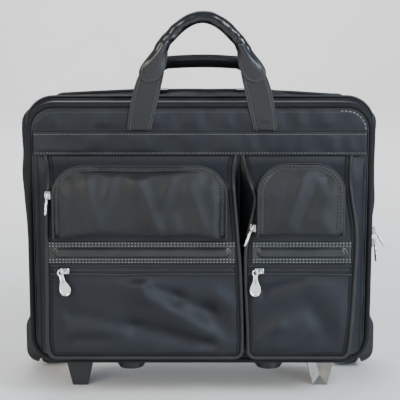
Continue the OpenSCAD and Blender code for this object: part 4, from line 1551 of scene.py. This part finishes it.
# ---------------------------------------------------------------- back of the case
def back_cover():
    """The padded cloth cover over the pull handle's tubes, quilted by three seams across it."""
    lo, hi = size_of("rear_cover")
    x0, x1, z0, z1 = lo[0], hi[0], lo[2], hi[2]
    xs = np.linspace(x0, x1, 105)
    zs = np.linspace(z0, z1, 110)
    gx, gz = np.meshgrid(xs, zs)
    edge = np.minimum(np.minimum(gx - x0, x1 - gx), np.minimum(gz - z0, z1 - gz))
    rows = [z0 + (z1 - z0) * k / 4 for k in (1, 2, 3)]
    channel = sum(np.exp(-((gz - r) / 2.6) ** 2) for r in rows)
    puff = 4.2 * ease(edge / 22) * (1 - 0.85 * channel) + ripple(gx, gz, 34, 1.4, 6.1) * ease(edge / 20)
    over_tubes = 4.8 * np.exp(-((np.abs(gx) - 80) / 15) ** 4)
    back = hi[1] - 5.4 + np.maximum(np.minimum(puff, 5.2) * ease(edge / 5), over_tubes)
    verts, faces = plate(gx, gz, back, back_y=lo[1] + 0.4)
    obj = piece("back_cover_pad", verts, faces, "nylon", "case", ["rear_cover"])
    tree = tree_of([obj])
    for name, z in zip(("low", "middle", "high"), rows):
        sew_back(f"back_cover_stitches_{name}", tree, [(x0 + 8, z), (x1 - 8, z)])
    ring = round_outline((x0 + 0.5, x1 - 0.5), (z0 + 0.5, z1 - 0.5), (3,) * 4, 3)
    closed_welt("back_cover_welt", ring, hi[1] - 5.2, 2.2, 2.2, "piping", "case")


def sew_back(name, tree, path, mat="dark_thread"):
    places = []
    for x, z in even(path, STITCH_PITCH):
        hit, nrm, _, _ = tree.ray_cast(Vector((x, 300, z)) * MM, Vector((0, -1, 0)))
        if hit is None:
            continue
        nrm = nrm if nrm.y > 0 else -nrm
        nrm = np.array(nrm)
        along = np.array([1.0, 0, 0])
        places.append((np.array(hit) / MM + nrm * 0.1, along - nrm * nrm[0], nrm))
    piece(name, *stitch_mesh(places), mat, "case")


def panel_stitches(panel):
    """The faint row inside the front welt, and the heavier lacing at the top corners."""
    tree = tree_of([panel])
    edge = panel_edge(2)
    row = edge - out_normals(edge) * 8.6
    top = np.array([p for p in row if p[1] > STRIP_HI[2] + 3])
    sew("front_panel_stitches", tree, [top], "front_section", "dark_thread", 3.3, 2.0, 0.7)
    lace = edge - out_normals(edge) * 7.2
    for side, sign in (("left", -1), ("right", 1)):
        turn = np.array([p for p in lace if p[1] > STRIP_HI[2] + 4 and sign * p[0] > 176])
        sew(f"front_corner_lacing_{side}", tree, [turn], "front_section", "lace" if sign < 0 else "thread",
            5.2, 3.6, 1.1)
    foot = edge - out_normals(edge) * 8.2
    low = np.array([p for p in foot if p[1] < POCKET_FOOT - 3 and abs(p[0]) < 196])
    low = low[np.argsort(low[:, 0])]
    sew("front_foot_stitches", tree, [low], "front_section", "dark_thread", 3.0, 1.9, 0.8)


def foot_binding():
    """The bound strip along the foot of the front, below the pockets."""
    xs = np.linspace(-196, 196, 130)
    zs = np.linspace(PANEL_LO[2] + 4, POCKET_FOOT - 1, 8)
    gx, gz = np.meshgrid(xs, zs)
    bulge = 1 - ((gz - zs.mean()) / (zs[-1] - zs[0]) * 2) ** 2
    front = PANEL_Y - 1.4 - 2.4 * bulge - ripple(gx, gz, 30, 1.4, 2.9)
    piece("front_foot_binding", *plate(gx, gz, front, back_y=PANEL_Y - 0.1), "welt", "front_section")


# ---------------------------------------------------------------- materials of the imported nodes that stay
KEPT = {
    "base_plastic": ["base_tray", "wheel_housing_left", "wheel_housing_right", "base_studs", "skid_rails",
                     "tube_foot"],
    "lining": ["back_board", "laptop_divider", "organiser_panel"],
    "leather": ["rear_handle_anchors", "zip_end_tabs"],
    "steel": ["axles", "base_screws", "release_rods"],
    "tube": ["outer_tubes", "mid_tubes", "inner_tubes"],
    "grip_plastic": ["handle_bezel", "mid_collars", "trolley_grip", "release_button"],
    "hub": ["hub_left", "hub_right"],
}


def finish_packed_nodes():
    for mat, names in KEPT.items():
        for name in names:
            obj = frame["nodes"][name]
            obj.data.materials.clear()
            obj.data.materials.append(MATS[mat])


FLOOR_START, FLOOR_END, CURVE_R, WALL_TOP = -4.5, 3.4, 0.8, 5.0


def add_stage():
    """A pale floor that curves up into a pale wall."""
    turn = [(FLOOR_END + CURVE_R * math.sin(a), CURVE_R - CURVE_R * math.cos(a))
            for a in np.radians(np.linspace(8, 90, 14))]
    profile = [(FLOOR_START, 0.0), (FLOOR_END, 0.0)] + turn + [(4.2, WALL_TOP)]
    xs = np.linspace(-6, 6, 9)
    verts = [(x, y, z) for x in xs for y, z in profile]
    k = len(profile)
    faces = [(i * k + j, (i + 1) * k + j, (i + 1) * k + j + 1,
              i * k + j + 1) for i in range(8) for j in range(k - 1)]
    mesh = bpy.data.meshes.new("studio_floor")
    mesh.from_pydata(verts, [], faces)
    obj = bpy.data.objects.new("studio_floor", mesh)
    bpy.context.collection.objects.link(obj)
    mesh.polygons.foreach_set("use_smooth", [True] * len(mesh.polygons))
    mesh.materials.append(MATS["floor"])


# ---------------------------------------------------------------- everything
add_camera()
add_lights()
add_stage()
finish_packed_nodes()
main_compartment()
case_welts()
panel = front_section()
panel_stitches(panel)
foot_binding()
seam_band()
for side in ("left", "right"):
    shell, ring = pocket_shell(side)
    pocket_seams(side, ring, tree_of([shell]))
    pouch_trim(side, pouch_pad(side))
    leather_strip(side)
    pocket_zip(side)
zip_hardware()
front_handle()
rear_handle()
main_zip()
hinge_gusset()
leg("left", "base_plastic", 0.5)
# painted reflection: the right leg gets the silver where it catches the window light, though it is the same
# plastic as the left
leg("right", "silver_leg", 4.2)
for side in ("left", "right"):
    wheel(side)
axle_caps()
back_cover()
